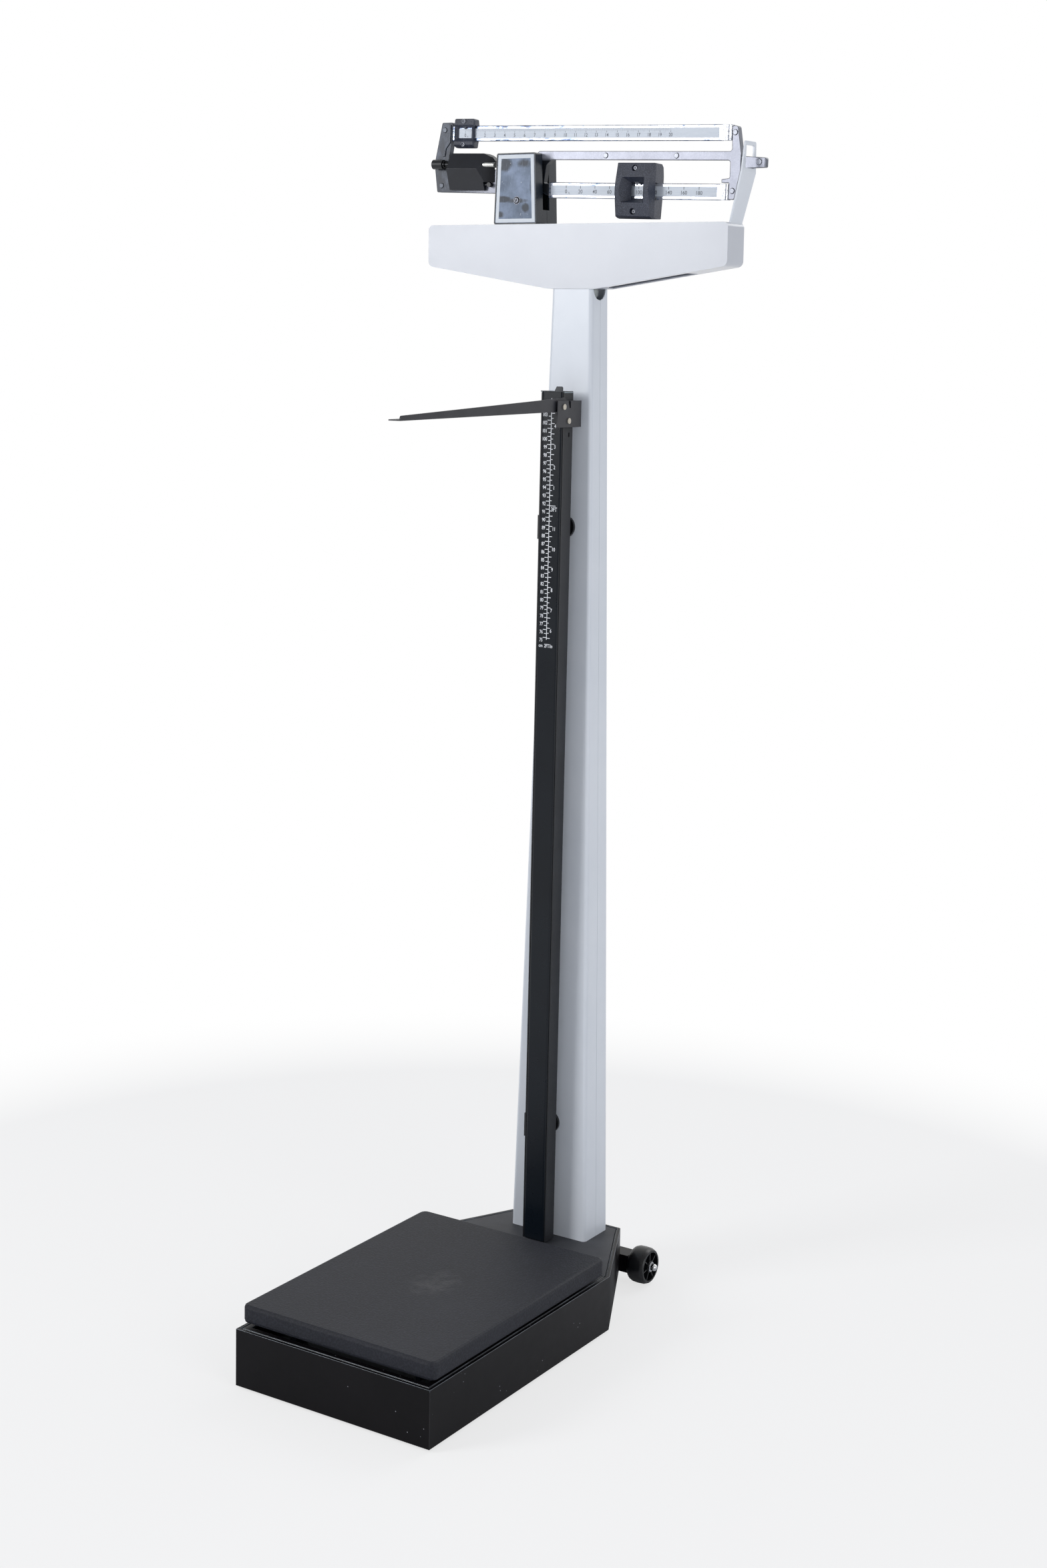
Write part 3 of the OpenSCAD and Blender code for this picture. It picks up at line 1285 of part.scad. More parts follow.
base_housing();
base_rails();
rubber_feet();
rear_top_plate();
wheel_bar();
wheel_axles();
axle_nuts();
fulcrum_blocks();
column_front_shell();
column_rear_shell();
head_bracket();
head_bolts();
head_box_front();
head_box_rear();
trig_loop();
stand_front();
stand_rear();
stand_plate();
stand_screw();
fulcrum_bracket();
transfer_bracket();
rod_channel();
rod_clips();
main_lever();
main_lever_knives();
short_lever();
short_lever_knives();
lever_link();
draw_rod();
transfer_lever();
beam_link();
platform_frame();
platform_cover();
beam_frame();
beam_knives();
upper_bar();
lower_bar();
upper_scale_strip();
lower_scale_strip();
bar_end_clamps();
beam_rivets();
pointer();
small_poise_front();
small_poise_rear();
small_poise_screws();
large_poise_front();
large_poise_rear();
large_poise_screws();
counterweight();
adjusting_screw();
guide_rod();
inner_rod();
rod_cap();
slider_bracket();
slider_rivets();
measuring_arm();
wheel_left();
wheel_right();
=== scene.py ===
import json
import math

import bmesh
import bpy
from mathutils import Matrix, Vector

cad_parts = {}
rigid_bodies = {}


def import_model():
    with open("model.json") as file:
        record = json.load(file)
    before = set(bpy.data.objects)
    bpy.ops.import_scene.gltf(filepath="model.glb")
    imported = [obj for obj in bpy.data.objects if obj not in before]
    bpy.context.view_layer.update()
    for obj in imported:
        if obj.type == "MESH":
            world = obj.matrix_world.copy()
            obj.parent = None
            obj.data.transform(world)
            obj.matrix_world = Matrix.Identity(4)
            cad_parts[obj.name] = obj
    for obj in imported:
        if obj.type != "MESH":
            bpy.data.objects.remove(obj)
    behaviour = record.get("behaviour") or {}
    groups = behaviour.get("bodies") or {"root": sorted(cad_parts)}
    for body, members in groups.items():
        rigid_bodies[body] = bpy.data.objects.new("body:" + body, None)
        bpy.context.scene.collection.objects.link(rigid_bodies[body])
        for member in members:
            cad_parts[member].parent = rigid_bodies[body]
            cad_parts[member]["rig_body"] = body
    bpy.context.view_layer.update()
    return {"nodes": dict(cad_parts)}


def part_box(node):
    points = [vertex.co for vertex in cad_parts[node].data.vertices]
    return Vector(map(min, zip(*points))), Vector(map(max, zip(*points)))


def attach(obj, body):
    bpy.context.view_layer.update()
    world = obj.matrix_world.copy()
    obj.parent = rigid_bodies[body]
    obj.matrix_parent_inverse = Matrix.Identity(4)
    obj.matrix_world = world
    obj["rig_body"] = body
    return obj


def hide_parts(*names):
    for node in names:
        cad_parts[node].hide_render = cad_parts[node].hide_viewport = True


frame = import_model()
MM = 0.001

# The head box is symmetric about the column's centre line, which gives that line's place in the frame
HEAD_LOW, HEAD_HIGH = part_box("head_box_front")
MID_X = -(HEAD_LOW[0] + HEAD_HIGH[0]) / 2 / MM

# The object's own layout, in millimetres, as the frame has it
MID_Y = 91.75
STAND_X = -86.0
BEAM_Y = 305.8
FULCRUM_Z = 1421.0
BEAM_TILT = math.radians(1.6)
ROD_FRONT = 234.5
ROD_BASE_Z = 71.6
ROD_LEAN = math.radians(0.51)
PLATFORM_Z = 98.2

# Half the thickness of the beam's casting and of its pointer, the strips' front face, and how far a print stands up
CAST_HALF = 4.0
POINTER_HALF = 3.2
STRIP_Y = -3.5
PRINT_UP = 0.03
# The stand's panel: its front face, and its screw's place and height
PANEL_Y = 282.7
PANEL_SCREW = (STAND_X + 2, 1389.7)

# The two bars' heights in the beam's own axes, where their scales begin, and the length of one kilogram on each
UPPER_W = 53.2
LOWER_W = -17.1
FINE_ZERO = -92.5
FINE_PITCH = 15.08
COARSE_ZERO = 63.1
COARSE_PITCH = 1.049
# Where the large weight stands, in kilograms
COARSE_REST = 100


def place(x, y, z):
    """A point in millimetres about the column's centre line, in the row frame."""
    return Vector(((x - MID_X) * MM, (y - MID_Y) * MM, z * MM))


def object_matrix():
    """Turns millimetres about the column's centre line into the row frame."""
    return Matrix.Translation(place(0, 0, 0)) @ Matrix.Scale(MM, 4)


def beam_matrix():
    """Turns the beam's own millimetres into the row frame."""
    turn = Matrix.Rotation(BEAM_TILT, 4, "Y")
    return Matrix.Translation(place(STAND_X, BEAM_Y, FULCRUM_Z)) @ turn @ Matrix.Scale(MM, 4)


def rod_matrix():
    """Turns the height rod's own millimetres into the row frame."""
    turn = Matrix.Rotation(-ROD_LEAN, 4, "X")
    down = Matrix.Translation(Vector((0, 0, -ROD_BASE_Z * MM)))
    return Matrix.Translation(place(0, ROD_FRONT, ROD_BASE_Z)) @ turn @ down @ Matrix.Scale(MM, 4)


# Colours and nodes

def paint(code):
    """An sRGB hex colour in Blender's linear light."""
    out = []
    for i in (0, 2, 4):
        v = int(code[i:i + 2], 16) / 255
        out.append(v / 12.92 if v <= 0.04045 else ((v + 0.055) / 1.055) ** 2.4)
    return (*out, 1.0)


def add(tree, kind, inputs=None, **settings):
    """Adds one node, with its settings, and its inputs as links or values."""
    node = tree.nodes.new(kind)
    for name, value in settings.items():
        setattr(node, name, value)
    for key, value in (inputs or {}).items():
        if isinstance(value, bpy.types.NodeSocket):
            tree.links.new(value, node.inputs[key])
        else:
            node.inputs[key].default_value = value
    return node


def reckon(tree, operation, a, b=0.0):
    """One sum on numbers or sockets."""
    return add(tree, "ShaderNodeMath", {0: a, 1: b}, operation=operation).outputs[0]


def ramp(tree, fac, stops):
    """A colour ramp over fac: stops are (place, hex colour)."""
    node = add(tree, "ShaderNodeValToRGB", {"Fac": fac})
    band = node.color_ramp.elements
    while len(band) < len(stops):
        band.new(0.5)
    for element, (at, code) in zip(band, stops):
        element.position = at
        element.color = paint(code)
    return node.outputs["Color"]


def surface(name, **constants):
    """A new material: its tree, its shader, and Object coordinates in metres."""
    material = bpy.data.materials.new(name)
    material.use_nodes = True
    tree = material.node_tree
    shader = tree.nodes["Principled BSDF"]
    for key, value in constants.items():
        shader.inputs[key.replace("_", " ")].default_value = value
    coords = add(tree, "ShaderNodeTexCoord").outputs["Object"]
    return material, tree, shader, coords


def noise(tree, coords, size_mm, detail=2.0, rough=0.5, stretch=None):
    """Noise whose blobs are about size_mm across."""
    if stretch:
        coords = add(tree, "ShaderNodeMapping", {"Vector": coords, "Scale": stretch}).outputs["Vector"]
    return add(tree, "ShaderNodeTexNoise", {
        "Vector": coords, "Scale": 1000.0 / size_mm, "Detail": detail, "Roughness": rough,
    }).outputs["Fac"]


def bump(tree, shader, height, depth_mm):
    """Bumps the shader by height, whose full range is depth_mm deep."""
    node = add(tree, "ShaderNodeBump", {"Height": height, "Distance": depth_mm * MM, "Strength": 1.0})
    tree.links.new(node.outputs["Normal"], shader.inputs["Normal"])


def span(tree, fac, low, high, start=0.0, end=1.0):
    """fac from start..end on to low..high, and no further."""
    return add(tree, "ShaderNodeMapRange", {
        "Value": fac, "From Min": start, "From Max": end, "To Min": low, "To Max": high,
    }).outputs["Result"]


def along(tree, coords, axis, start, end):
    """0 to 1 along one axis of the row frame, between two places in metres."""
    parts = add(tree, "ShaderNodeSeparateXYZ", {"Vector": coords})
    return span(tree, parts.outputs[axis], 0.0, 1.0, start, end)


def spot(tree, coords, at, radii_mm):
    """1 at a place on the surface, fading to 0 on an ellipse round it."""
    scale = [1000.0 / r for r in radii_mm]
    moved = add(tree, "ShaderNodeMapping", {
        "Vector": coords, "Scale": scale, "Location": [-p * s for p, s in zip(at, scale)],
    }).outputs["Vector"]
    return add(tree, "ShaderNodeTexGradient", {"Vector": moved}, gradient_type="SPHERICAL").outputs["Fac"]


def specks(tree, coords, cell_mm, share, patch_mm=45, patch_from=0.52):
    """Scattered dots in patches of patch_mm: 1 where a speck lies, at most one in each cell."""
    cells = add(tree, "ShaderNodeTexVoronoi", {"Vector": coords, "Scale": 1000.0 / cell_mm})
    dots = reckon(tree, "LESS_THAN", cells.outputs["Distance"], share)
    here = reckon(tree, "GREATER_THAN", noise(tree, coords, patch_mm, 2), patch_from)
    return reckon(tree, "MULTIPLY", dots, here)


def mixed(tree, fac, a, b):
    """Colour a where fac is 0, b where it is 1."""
    return add(tree, "ShaderNodeMix", {"Factor": fac, 6: a, 7: b}, data_type="RGBA").outputs[2]


def coated(name, dark, light, roughness, blotch_mm=60, peel_mm=2.2, peel_depth=0.012, dust=0.0, scuff=None,
           **constants):
    """Sprayed and baked paint: faint blotches, orange peel, a little dust, and scuffs if asked."""
    material, tree, shader, coords = surface(name, **constants)
    blotch = noise(tree, coords, blotch_mm, 4, 0.6)
    colour = ramp(tree, blotch, [(0.3, dark), (0.7, light)])
    if scuff:
        scratch = noise(tree, coords, 3.0, 5, 0.7, (1, 1, 0.12))
        worn = span(tree, scratch, 0.0, 1.0, 0.66, 0.74)
        colour = mixed(tree, reckon(tree, "MULTIPLY", worn, 0.5), colour, paint(scuff))
    if dust:
        colour = mixed(tree, specks(tree, coords, 9, dust), colour, paint("8f9096"))
    tree.links.new(colour, shader.inputs["Base Color"])
    gloss = span(tree, noise(tree, coords, 14, 3), roughness - 0.05, roughness + 0.06)
    tree.links.new(gloss, shader.inputs["Roughness"])
    bump(tree, shader, noise(tree, coords, peel_mm, 1), peel_depth)
    return material


def brushed(name, dark, light, roughness, stretch, metallic=1.0, line_mm=0.7, depth=0.003):
    """Metal drawn or ground along one direction: fine lines in its colour and gloss."""
    material, tree, shader, coords = surface(name, Metallic=metallic)
    lines = noise(tree, coords, line_mm, 3, 0.6, stretch)
    cloud = noise(tree, coords, 30, 3, 0.6)
    both = reckon(tree, "MULTIPLY", reckon(tree, "MULTIPLY", lines, cloud), 1.8)
    tree.links.new(ramp(tree, both, [(0.25, dark), (0.75, light)]), shader.inputs["Base Color"])
    tree.links.new(span(tree, lines, roughness - 0.06, roughness + 0.08), shader.inputs["Roughness"])
    bump(tree, shader, lines, depth)
    return material


def grained(name, dark, light, roughness, grain_mm, depth, blotch_mm=40, rub=None, glint=None, **constants):
    """Moulded or cast surface with a fine grain. rub is (colour, strength, centre, radii) of a worn patch, and
    glint the colour of the grain's tops."""
    material, tree, shader, coords = surface(name, **constants)
    cells = add(tree, "ShaderNodeTexVoronoi", {"Vector": coords, "Scale": 1000.0 / grain_mm}, feature="SMOOTH_F1")
    fine = noise(tree, coords, grain_mm * 0.8, 2)
    height = reckon(tree, "ADD", cells.outputs["Distance"], fine)
    colour = ramp(tree, noise(tree, coords, blotch_mm, 5, 0.65), [(0.32, dark), (0.68, light)])
    if rub:
        code, share, centre, radii = rub
        patch = reckon(tree, "MULTIPLY", spot(tree, coords, centre, radii), noise(tree, coords, 16, 6, 0.72))
        colour = mixed(tree, span(tree, patch, 0.0, share, 0.3, 0.55), colour, paint(code))
    if glint:
        top = span(tree, height, 0.0, 0.5, 0.85, 1.15)
        colour = mixed(tree, top, colour, paint(glint))
    tree.links.new(colour, shader.inputs["Base Color"])
    tree.links.new(span(tree, fine, roughness - 0.06, roughness + 0.06), shader.inputs["Roughness"])
    bump(tree, shader, height, depth)
    return material


# Baked black enamel on pressed steel: a dim gloss with orange peel, scuffs and settled dust
BLACK_ENAMEL = coated("baked black enamel on pressed steel", "0b0a0c", "110f12", 0.34, dust=0.07,
                      Specular_IOR_Level=0.16, scuff="242326")

# White powder coat on folded sheet: cool white, a soft sheen and slight orange peel
WHITE_POWDER = coated("white powder coat on folded steel", "dbe1ea", "e3e8f0", 0.34, blotch_mm=140,
                      peel_mm=3.0, peel_depth=0.012, Coat_Weight=0.2, Coat_Roughness=0.18)
# White gloss enamel of the head box, with a wetter shine than the column
WHITE_GLOSS = coated("white gloss enamel on folded steel", "c3c7d0", "c7cbd4", 0.3, blotch_mm=120,
                     peel_mm=4.0, peel_depth=0.012, Coat_Weight=0.3, Coat_Roughness=0.1)
# Satin black paint of the beam stand: a cool dim shine
BLACK_SATIN = coated("satin black paint on formed steel", "1a2028", "222932", 0.28, peel_mm=1.2,
                     peel_depth=0.006, Specular_IOR_Level=0.34, dust=0.03)
# Charcoal paint of the counterweight: faint blotches and scattered scuffs
CHARCOAL = coated("charcoal paint on a lead filled box", "10131c", "181c26", 0.42, blotch_mm=22, peel_mm=1.0,
                  peel_depth=0.008, scuff="3d4049")
# Matt black wrinkle paint on the rear top plate: greyer than the enamel, with a dull sheen
MATT_BLACK = grained("matt black wrinkle paint", "35363b", "3f4146", 0.58, 0.9, 0.03, Specular_IOR_Level=0.4)
# Moulded rubber mat: fine leather grain, grey scuffs in the middle where people stand
RUBBER_MAT = grained("moulded rubber mat with leather grain", "191b22", "21232b", 0.58, 2.3, 0.22, blotch_mm=110,
                     rub=("4a4a4c", 0.7, place(12, 0, PLATFORM_Z), (80, 110, 30)), glint="30323b",
                     Specular_IOR_Level=0.3)
# Black anodised aluminium rod: dark, even, cool and a little glossy
BLACK_ANODISED = coated("black anodised aluminium", "0a1018", "10171f", 0.28, blotch_mm=90, peel_mm=1.0,
                        peel_depth=0.003, Specular_IOR_Level=0.25)
# Grey-black satin paint on the folding arm and its bracket: an even cool sheen
ARM_PAINT = coated("satin charcoal paint on sheet steel", "25262c", "2e2f35", 0.46, blotch_mm=35, peel_mm=1.1,
                   peel_depth=0.01, scuff="45464d", Specular_IOR_Level=0.4)
# Galvanised steel: a pale grey metal with a faint spangle
GALVANISED = brushed("galvanised steel with spangle", "8c9396", "b5babc", 0.42, (1, 1, 1), line_mm=6, depth=0.004)
# Grey primer on rough sand-cast iron, seen only inside
CAST_PAINTED = grained("grey primer on rough cast iron", "3b3e41", "4a4d50", 0.66, 1.6, 0.2)
# Ground tool steel of the knives and rods: fine lines across, a cool shine
GROUND_STEEL = brushed("ground tool steel", "9a9da1", "c0c2c5", 0.28, (1, 0.2, 1), line_mm=0.5, depth=0.002)
# Bright nickel on the screws and nuts: near-mirror
NICKEL = brushed("bright nickel plate", "c5c7ca", "e0e1e3", 0.14, (1, 1, 1), line_mm=2, depth=0.001)
# Blackened steel screws in the weights: dark, with faint lighter lines
BLACK_OXIDE = brushed("blackened screw steel", "3a3c42", "6a6c73", 0.3, (1, 1, 1), line_mm=0.8, depth=0.002)
# Aluminium rivets: warm grey, dulled where the paint wore off
WORN_RIVET = brushed("aluminium rivet with worn head", "a8a296", "d0cbc0", 0.35, (1, 1, 1), metallic=0.6,
                     line_mm=1.2, depth=0.004)
# Painted highlight on the rim round a screw's seat
SEAT_RIM_HIGHLIGHT = brushed("painted highlight on a screw seat's rim", "a9adb9", "c3c7d1", 0.36, (1, 1, 1), metallic=0.3, line_mm=1.0)
# Painted shade: a dark line along the beam's edges
EDGE_SHADE = coated("painted shade along the beam's edges", "333842", "414751", 0.4, blotch_mm=12,
                      peel_depth=0.003, Specular_IOR_Level=0.3)
# Moulded black nylon of the wheels and clips: a soft oily shine
BLACK_NYLON = coated("moulded black nylon", "0e0f12", "151619", 0.32, blotch_mm=20, peel_mm=0.8, peel_depth=0.006)
# Black rubber of the feet: dead matt
FOOT_RUBBER = grained("black rubber foot", "151515", "1d1d1e", 0.8, 0.8, 0.05)
# Grained black lacquer on the cast weights: a coarse sparkle on a cool charcoal
POISE_LACQUER = grained("grained black lacquer on cast iron", "212634", "2b3141", 0.46, 1.0, 0.16,
                        glint="565b6b")
# Screen-printed white on the rod, and cool grey on the strips
INK_WHITE = coated("white screen print", "e6eaf1", "f2f4f8", 0.5, peel_depth=0.001)
INK_GREY = coated("grey screen print", "5b6069", "6b707b", 0.5, peel_depth=0.001)
# The fine scale's ticks are paler, since they are thinner than the render can show
INK_PALE = coated("fine grey screen print", "a0a6b0", "abb0ba", 0.5, peel_depth=0.001)
# Painted shade in the gap round a rivet and round the panel screw: near black
JOINT_SHADE = coated("painted shade in a rivet's joint", "1d2026", "2a2d34", 0.6, peel_depth=0.001)


def matt_channel():
    """Matt black paint on the channel, with a painted highlight along the bare edge where a saw cut its top off."""
    material, tree, shader, coords = surface("matt black painted channel", Specular_IOR_Level=0.4)
    body = ramp(tree, noise(tree, coords, 60, 3), [(0.3, "1e2024"), (0.7, "27292e")])
    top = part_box("rod_channel")[1].z
    # Painted highlight: a bright line along the bare top edge
    sawn_edge_highlight = along(tree, coords, "Z", top - 0.7 * MM, top - 0.5 * MM)
    tree.links.new(mixed(tree, sawn_edge_highlight, body, paint("cfe0e8")), shader.inputs["Base Color"])
    shader.inputs["Roughness"].default_value = 0.5
    bump(tree, shader, noise(tree, coords, 1.0, 1), 0.008)
    return material


def handled(tree, coords):
    """0 at the beam's left end, where a dark reflection is painted, to 1 where its lacquer shows pale."""
    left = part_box("beam_frame")[0].x
    return along(tree, coords, "X", left + 30 * MM, left + 115 * MM)


def beam_lacquer():
    """Silver-grey lacquer on die-cast zinc: mottled, with a painted dark reflection towards the left, pale and finely
    speckled to the right. Painted shade darkens the cast sides and the part inside the stand's slot, and the screw's
    boss is black."""
    material, tree, shader, coords = surface("silver-grey lacquer on die-cast zinc", Metallic=0.3)
    # Painted dark reflection towards the beam's left end, pale lacquer to the right
    at = handled(tree, coords)
    mottle = noise(tree, coords, 9, 6, 0.7, (1, 1, 0.5))
    dark = ramp(tree, mottle, [(0.36, "23272f"), (0.5, "343943"), (0.68, "565c68")])
    flow = noise(tree, coords, 1.3, 3, 0.65)
    light = ramp(tree, flow, [(0.3, "a8abb9"), (0.5, "b0b3c1"), (0.72, "babdc9")])
    face = mixed(tree, at, dark, light)
    # Painted shade on the cast sides: faces that turn away from the front take a darker grey
    normal = add(tree, "ShaderNodeTexCoord").outputs["Normal"]
    outward = add(tree, "ShaderNodeSeparateXYZ", {0: normal}).outputs["Y"]
    side = span(tree, reckon(tree, "ABSOLUTE", outward), 0.9, 0.0, 0.75, 0.95)
    colour = mixed(tree, side, face, paint("474c57"))
    # Painted shade inside the stand's slot, which hides the casting from 34 mm left to 41 mm right of its middle, up
    # to 18 mm over the fulcrum
    middle = (STAND_X - MID_X) * MM
    inside = reckon(tree, "SUBTRACT", 1.0, along(tree, coords, "X", middle + 41 * MM, middle + 46 * MM))
    below = along(tree, coords, "Z", (FULCRUM_Z + 22) * MM, (FULCRUM_Z + 18) * MM)
    near = along(tree, coords, "X", middle - 34 * MM, middle - 30 * MM)
    slot_shade = reckon(tree, "MULTIPLY", reckon(tree, "MULTIPLY", inside, below), near)
    colour = mixed(tree, slot_shade, colour, paint("1c2026"))
    # Only the screw's boss stands in front of the casting's face
    front = (BEAM_Y - CAST_HALF - MID_Y) * MM
    boss = along(tree, coords, "Y", front - 1.7 * MM, front - 2.0 * MM)
    colour = mixed(tree, boss, colour, paint("1b1d21"))
    tree.links.new(colour, shader.inputs["Base Color"])
    tree.links.new(span(tree, mottle, 0.3, 0.5), shader.inputs["Roughness"])
    bump(tree, shader, flow, 0.006)
    return material


def rubbed_enamel():
    """Enamel on the housing's folds: a painted highlight as a bright grey line along the top rim, black on the
    upright folds.
    """
    material, tree, shader, coords = surface("black enamel rubbed thin on the rim", Roughness=0.24)
    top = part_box("base_housing")[1].z
    rim = along(tree, coords, "Z", top - 3.0 * MM, top - 1.2 * MM)
    # Painted highlight along the top rim
    rim_highlight_colour = ramp(tree, noise(tree, coords, 25, 4, 0.6), [(0.35, "30343a"), (0.65, "626a74")])
    tree.links.new(mixed(tree, rim, paint("141316"), rim_highlight_colour), shader.inputs["Base Color"])
    bump(tree, shader, noise(tree, coords, 2.2, 1), 0.004)
    return material


def rivet_heads():
    """Lacquered rivet heads: the same painted dark reflection at the left end of the beam as on the casting, pale
    elsewhere.
    """
    material, tree, shader, coords = surface("lacquered rivet head", Metallic=0.3, Roughness=0.36)
    flow = noise(tree, coords, 1.2, 3, 0.6)
    dark = ramp(tree, flow, [(0.35, "3f444e"), (0.65, "626874")])
    light = ramp(tree, flow, [(0.35, "a3a7b4"), (0.65, "bdc1cb")])
    tree.links.new(mixed(tree, handled(tree, coords), dark, light), shader.inputs["Base Color"])
    bump(tree, shader, flow, 0.004)
    return material


def screw_rod():
    """Steel screw of the counterweight: oily black where it runs in the boss and the weight, bright at its end."""
    material, tree, shader, coords = surface("blackened steel screw with a bright end", Metallic=0.7, Roughness=0.25)
    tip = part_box("adjusting_screw")[1].x
    end = along(tree, coords, "X", tip - 19 * MM, tip - 18 * MM)
    groove = along(tree, coords, "X", tip - 10.5 * MM, tip - 10 * MM)
    bright = mixed(tree, reckon(tree, "MULTIPLY", groove, 0.2), paint("d8d9d6"), paint("55585c"))
    tree.links.new(mixed(tree, end, paint("1d1f22"), bright), shader.inputs["Base Color"])
    bump(tree, shader, noise(tree, coords, 0.8, 2), 0.003)
    return material


def polished_bar():
    """Polished aluminium: bright bevels with painted reflections of blue and dark streaks, most of them at the left
    of the front.
    """
    material, tree, shader, coords = surface("polished aluminium bar", Metallic=0.55)
    low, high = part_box("upper_bar")
    left = along(tree, coords, "X", high.x - 80 * MM, low.x)
    front = along(tree, coords, "Y", high.y - 0.5 * MM, high.y - 1.5 * MM)
    # Painted reflections: blue and dark streaks, more of them towards the left and on the front face
    reflection_streaks = noise(tree, coords, 4.5, 5, 0.7, (0.3, 1, 1.2))
    both = reckon(tree, "ADD", reflection_streaks, reckon(tree, "MULTIPLY", left, 0.15))
    both = reckon(tree, "MULTIPLY", both, span(tree, front, 0.75, 1.0))
    colour = ramp(tree, both, [(0.54, "d2d5de"), (0.6, "a3b0c9"), (0.66, "5a6a8d"), (0.72, "363c4e")])
    tree.links.new(colour, shader.inputs["Base Color"])
    tree.links.new(span(tree, reflection_streaks, 0.1, 0.22), shader.inputs["Roughness"])
    bump(tree, shader, noise(tree, coords, 0.8, 2, 0.5, (0.05, 1, 1)), 0.001)
    return material


def clamp_metal():
    """Bright pressed metal of the bar ends, with a dark mottled knurl."""
    material, tree, shader, coords = surface("pressed and knurled aluminium", Metallic=0.4)
    knurl = noise(tree, coords, 1.6, 4, 0.75)
    colour = ramp(tree, knurl, [(0.36, "4a4e58"), (0.46, "b9bdc6"), (0.58, "dcdee5")])
    tree.links.new(colour, shader.inputs["Base Color"])
    tree.links.new(span(tree, knurl, 0.4, 0.2), shader.inputs["Roughness"])
    bump(tree, shader, knurl, 0.03)
    return material


def silver_strip():
    """Matt silver foil under the printed scales: cool and even, with faint drawn lines."""
    material, tree, shader, coords = surface("matt silver foil strip", Metallic=0.1)
    lines = noise(tree, coords, 1.2, 3, 0.6, (0.04, 1, 1))
    tree.links.new(ramp(tree, lines, [(0.3, "bfc7d2"), (0.7, "c8cfd9")]), shader.inputs["Base Color"])
    shader.inputs["Roughness"].default_value = 0.45
    bump(tree, shader, lines, 0.001)
    return material


# Dark smears on the stand's panel, from its centre in millimetres: x, z, half width, half height, depth
SMEARS = [
    (-17, 30, 16, 13, 1.0), (12, 31, 16, 9, 0.75), (-20, -13, 20, 6, 1.0), (2, -15, 26, 5, 0.8),
    (15, -24, 8, 9, 0.95), (-22, -32, 9, 7, 0.8), (24, 4, 6, 30, 0.6), (-26, 12, 5, 18, 0.6),
]


def smeared_panel():
    """Bare blue-grey aluminium of the stand's front plate: dark smears of old glue, vertical scratches, and
    clusters of bright specks."""
    material, tree, shader, coords = surface("scuffed bare aluminium panel", Metallic=0.15)
    low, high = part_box("stand_plate")
    centre = (low + high) / 2
    smear = noise(tree, coords, 8, 8, 0.76, (1, 1, 0.4))
    shadow = None
    for dx, dz, rx, rz, depth in SMEARS:
        here = spot(tree, coords, centre + Vector((dx, 0, dz)) * MM, (rx, 40, rz))
        here = reckon(tree, "MULTIPLY", here, depth)
        shadow = here if shadow is None else reckon(tree, "MAXIMUM", shadow, here)
    amount = span(tree, reckon(tree, "MULTIPLY", shadow, smear), 0.0, 0.94, 0.11, 0.25)
    cloud = ramp(tree, noise(tree, coords, 26, 5, 0.6), [(0.34, "4c5a6f"), (0.5, "5e6d83"), (0.68, "7786a0")])
    colour = mixed(tree, amount, cloud, paint("252c37"))
    scratch = noise(tree, coords, 0.9, 3, 0.7, (1, 1, 0.06))
    colour = mixed(tree, span(tree, scratch, 0.0, 0.35, 0.6, 0.72), colour, paint("a0abbb"))
    colour = mixed(tree, specks(tree, coords, 2.4, 0.15, 12, 0.6), colour, paint("dfe5ee"))
    tree.links.new(colour, shader.inputs["Base Color"])
    tree.links.new(span(tree, smear, 0.35, 0.55), shader.inputs["Roughness"])
    bump(tree, shader, scratch, 0.003)
    return material


BEAM_LACQUER = beam_lacquer()
POLISHED_BAR = polished_bar()
SCREW_ROD = screw_rod()
RIVET_HEADS = rivet_heads()
HOUSING_RIM_HIGHLIGHT = rubbed_enamel()
CLAMP_METAL = clamp_metal()
SILVER_STRIP = silver_strip()
BARE_PANEL = smeared_panel()
MATT_CHANNEL = matt_channel()
# Silvery white band printed round the panel
PANEL_BORDER = coated("silver white printed border", "d3dae4", "dde3ea", 0.45, blotch_mm=18, peel_depth=0.001)

FINISH = {
    BLACK_ENAMEL: "base_housing base_rails wheel_bar",
    FOOT_RUBBER: "rubber_feet",
    MATT_BLACK: "rear_top_plate",
    GROUND_STEEL: "wheel_axles main_lever_knives short_lever_knives lever_link draw_rod beam_link beam_knives",
    NICKEL: "axle_nuts stand_screw",
    SCREW_ROD: "adjusting_screw",
    GALVANISED: "fulcrum_blocks head_bracket head_bolts fulcrum_bracket transfer_bracket",
    WHITE_POWDER: "column_front_shell column_rear_shell trig_loop",
    WHITE_GLOSS: "head_box_front head_box_rear",
    BLACK_SATIN: "stand_front stand_rear platform_frame rod_cap",
    BARE_PANEL: "stand_plate",
    MATT_CHANNEL: "rod_channel",
    BLACK_NYLON: "rod_clips wheel_left wheel_right",
    CAST_PAINTED: "main_lever short_lever transfer_lever",
    RUBBER_MAT: "platform_cover",
    BEAM_LACQUER: "beam_frame pointer",
    RIVET_HEADS: "beam_rivets",
    POLISHED_BAR: "upper_bar lower_bar",
    SILVER_STRIP: "upper_scale_strip lower_scale_strip",
    CLAMP_METAL: "bar_end_clamps",
    POISE_LACQUER: "small_poise_front small_poise_rear large_poise_front large_poise_rear",
    BLACK_OXIDE: "small_poise_screws large_poise_screws",
    CHARCOAL: "counterweight guide_rod",
    BLACK_ANODISED: "inner_rod",
    ARM_PAINT: "slider_bracket measuring_arm",
    WORN_RIVET: "slider_rivets",
}
finish_of = {node: material for material, nodes in FINISH.items() for node in nodes.split()}


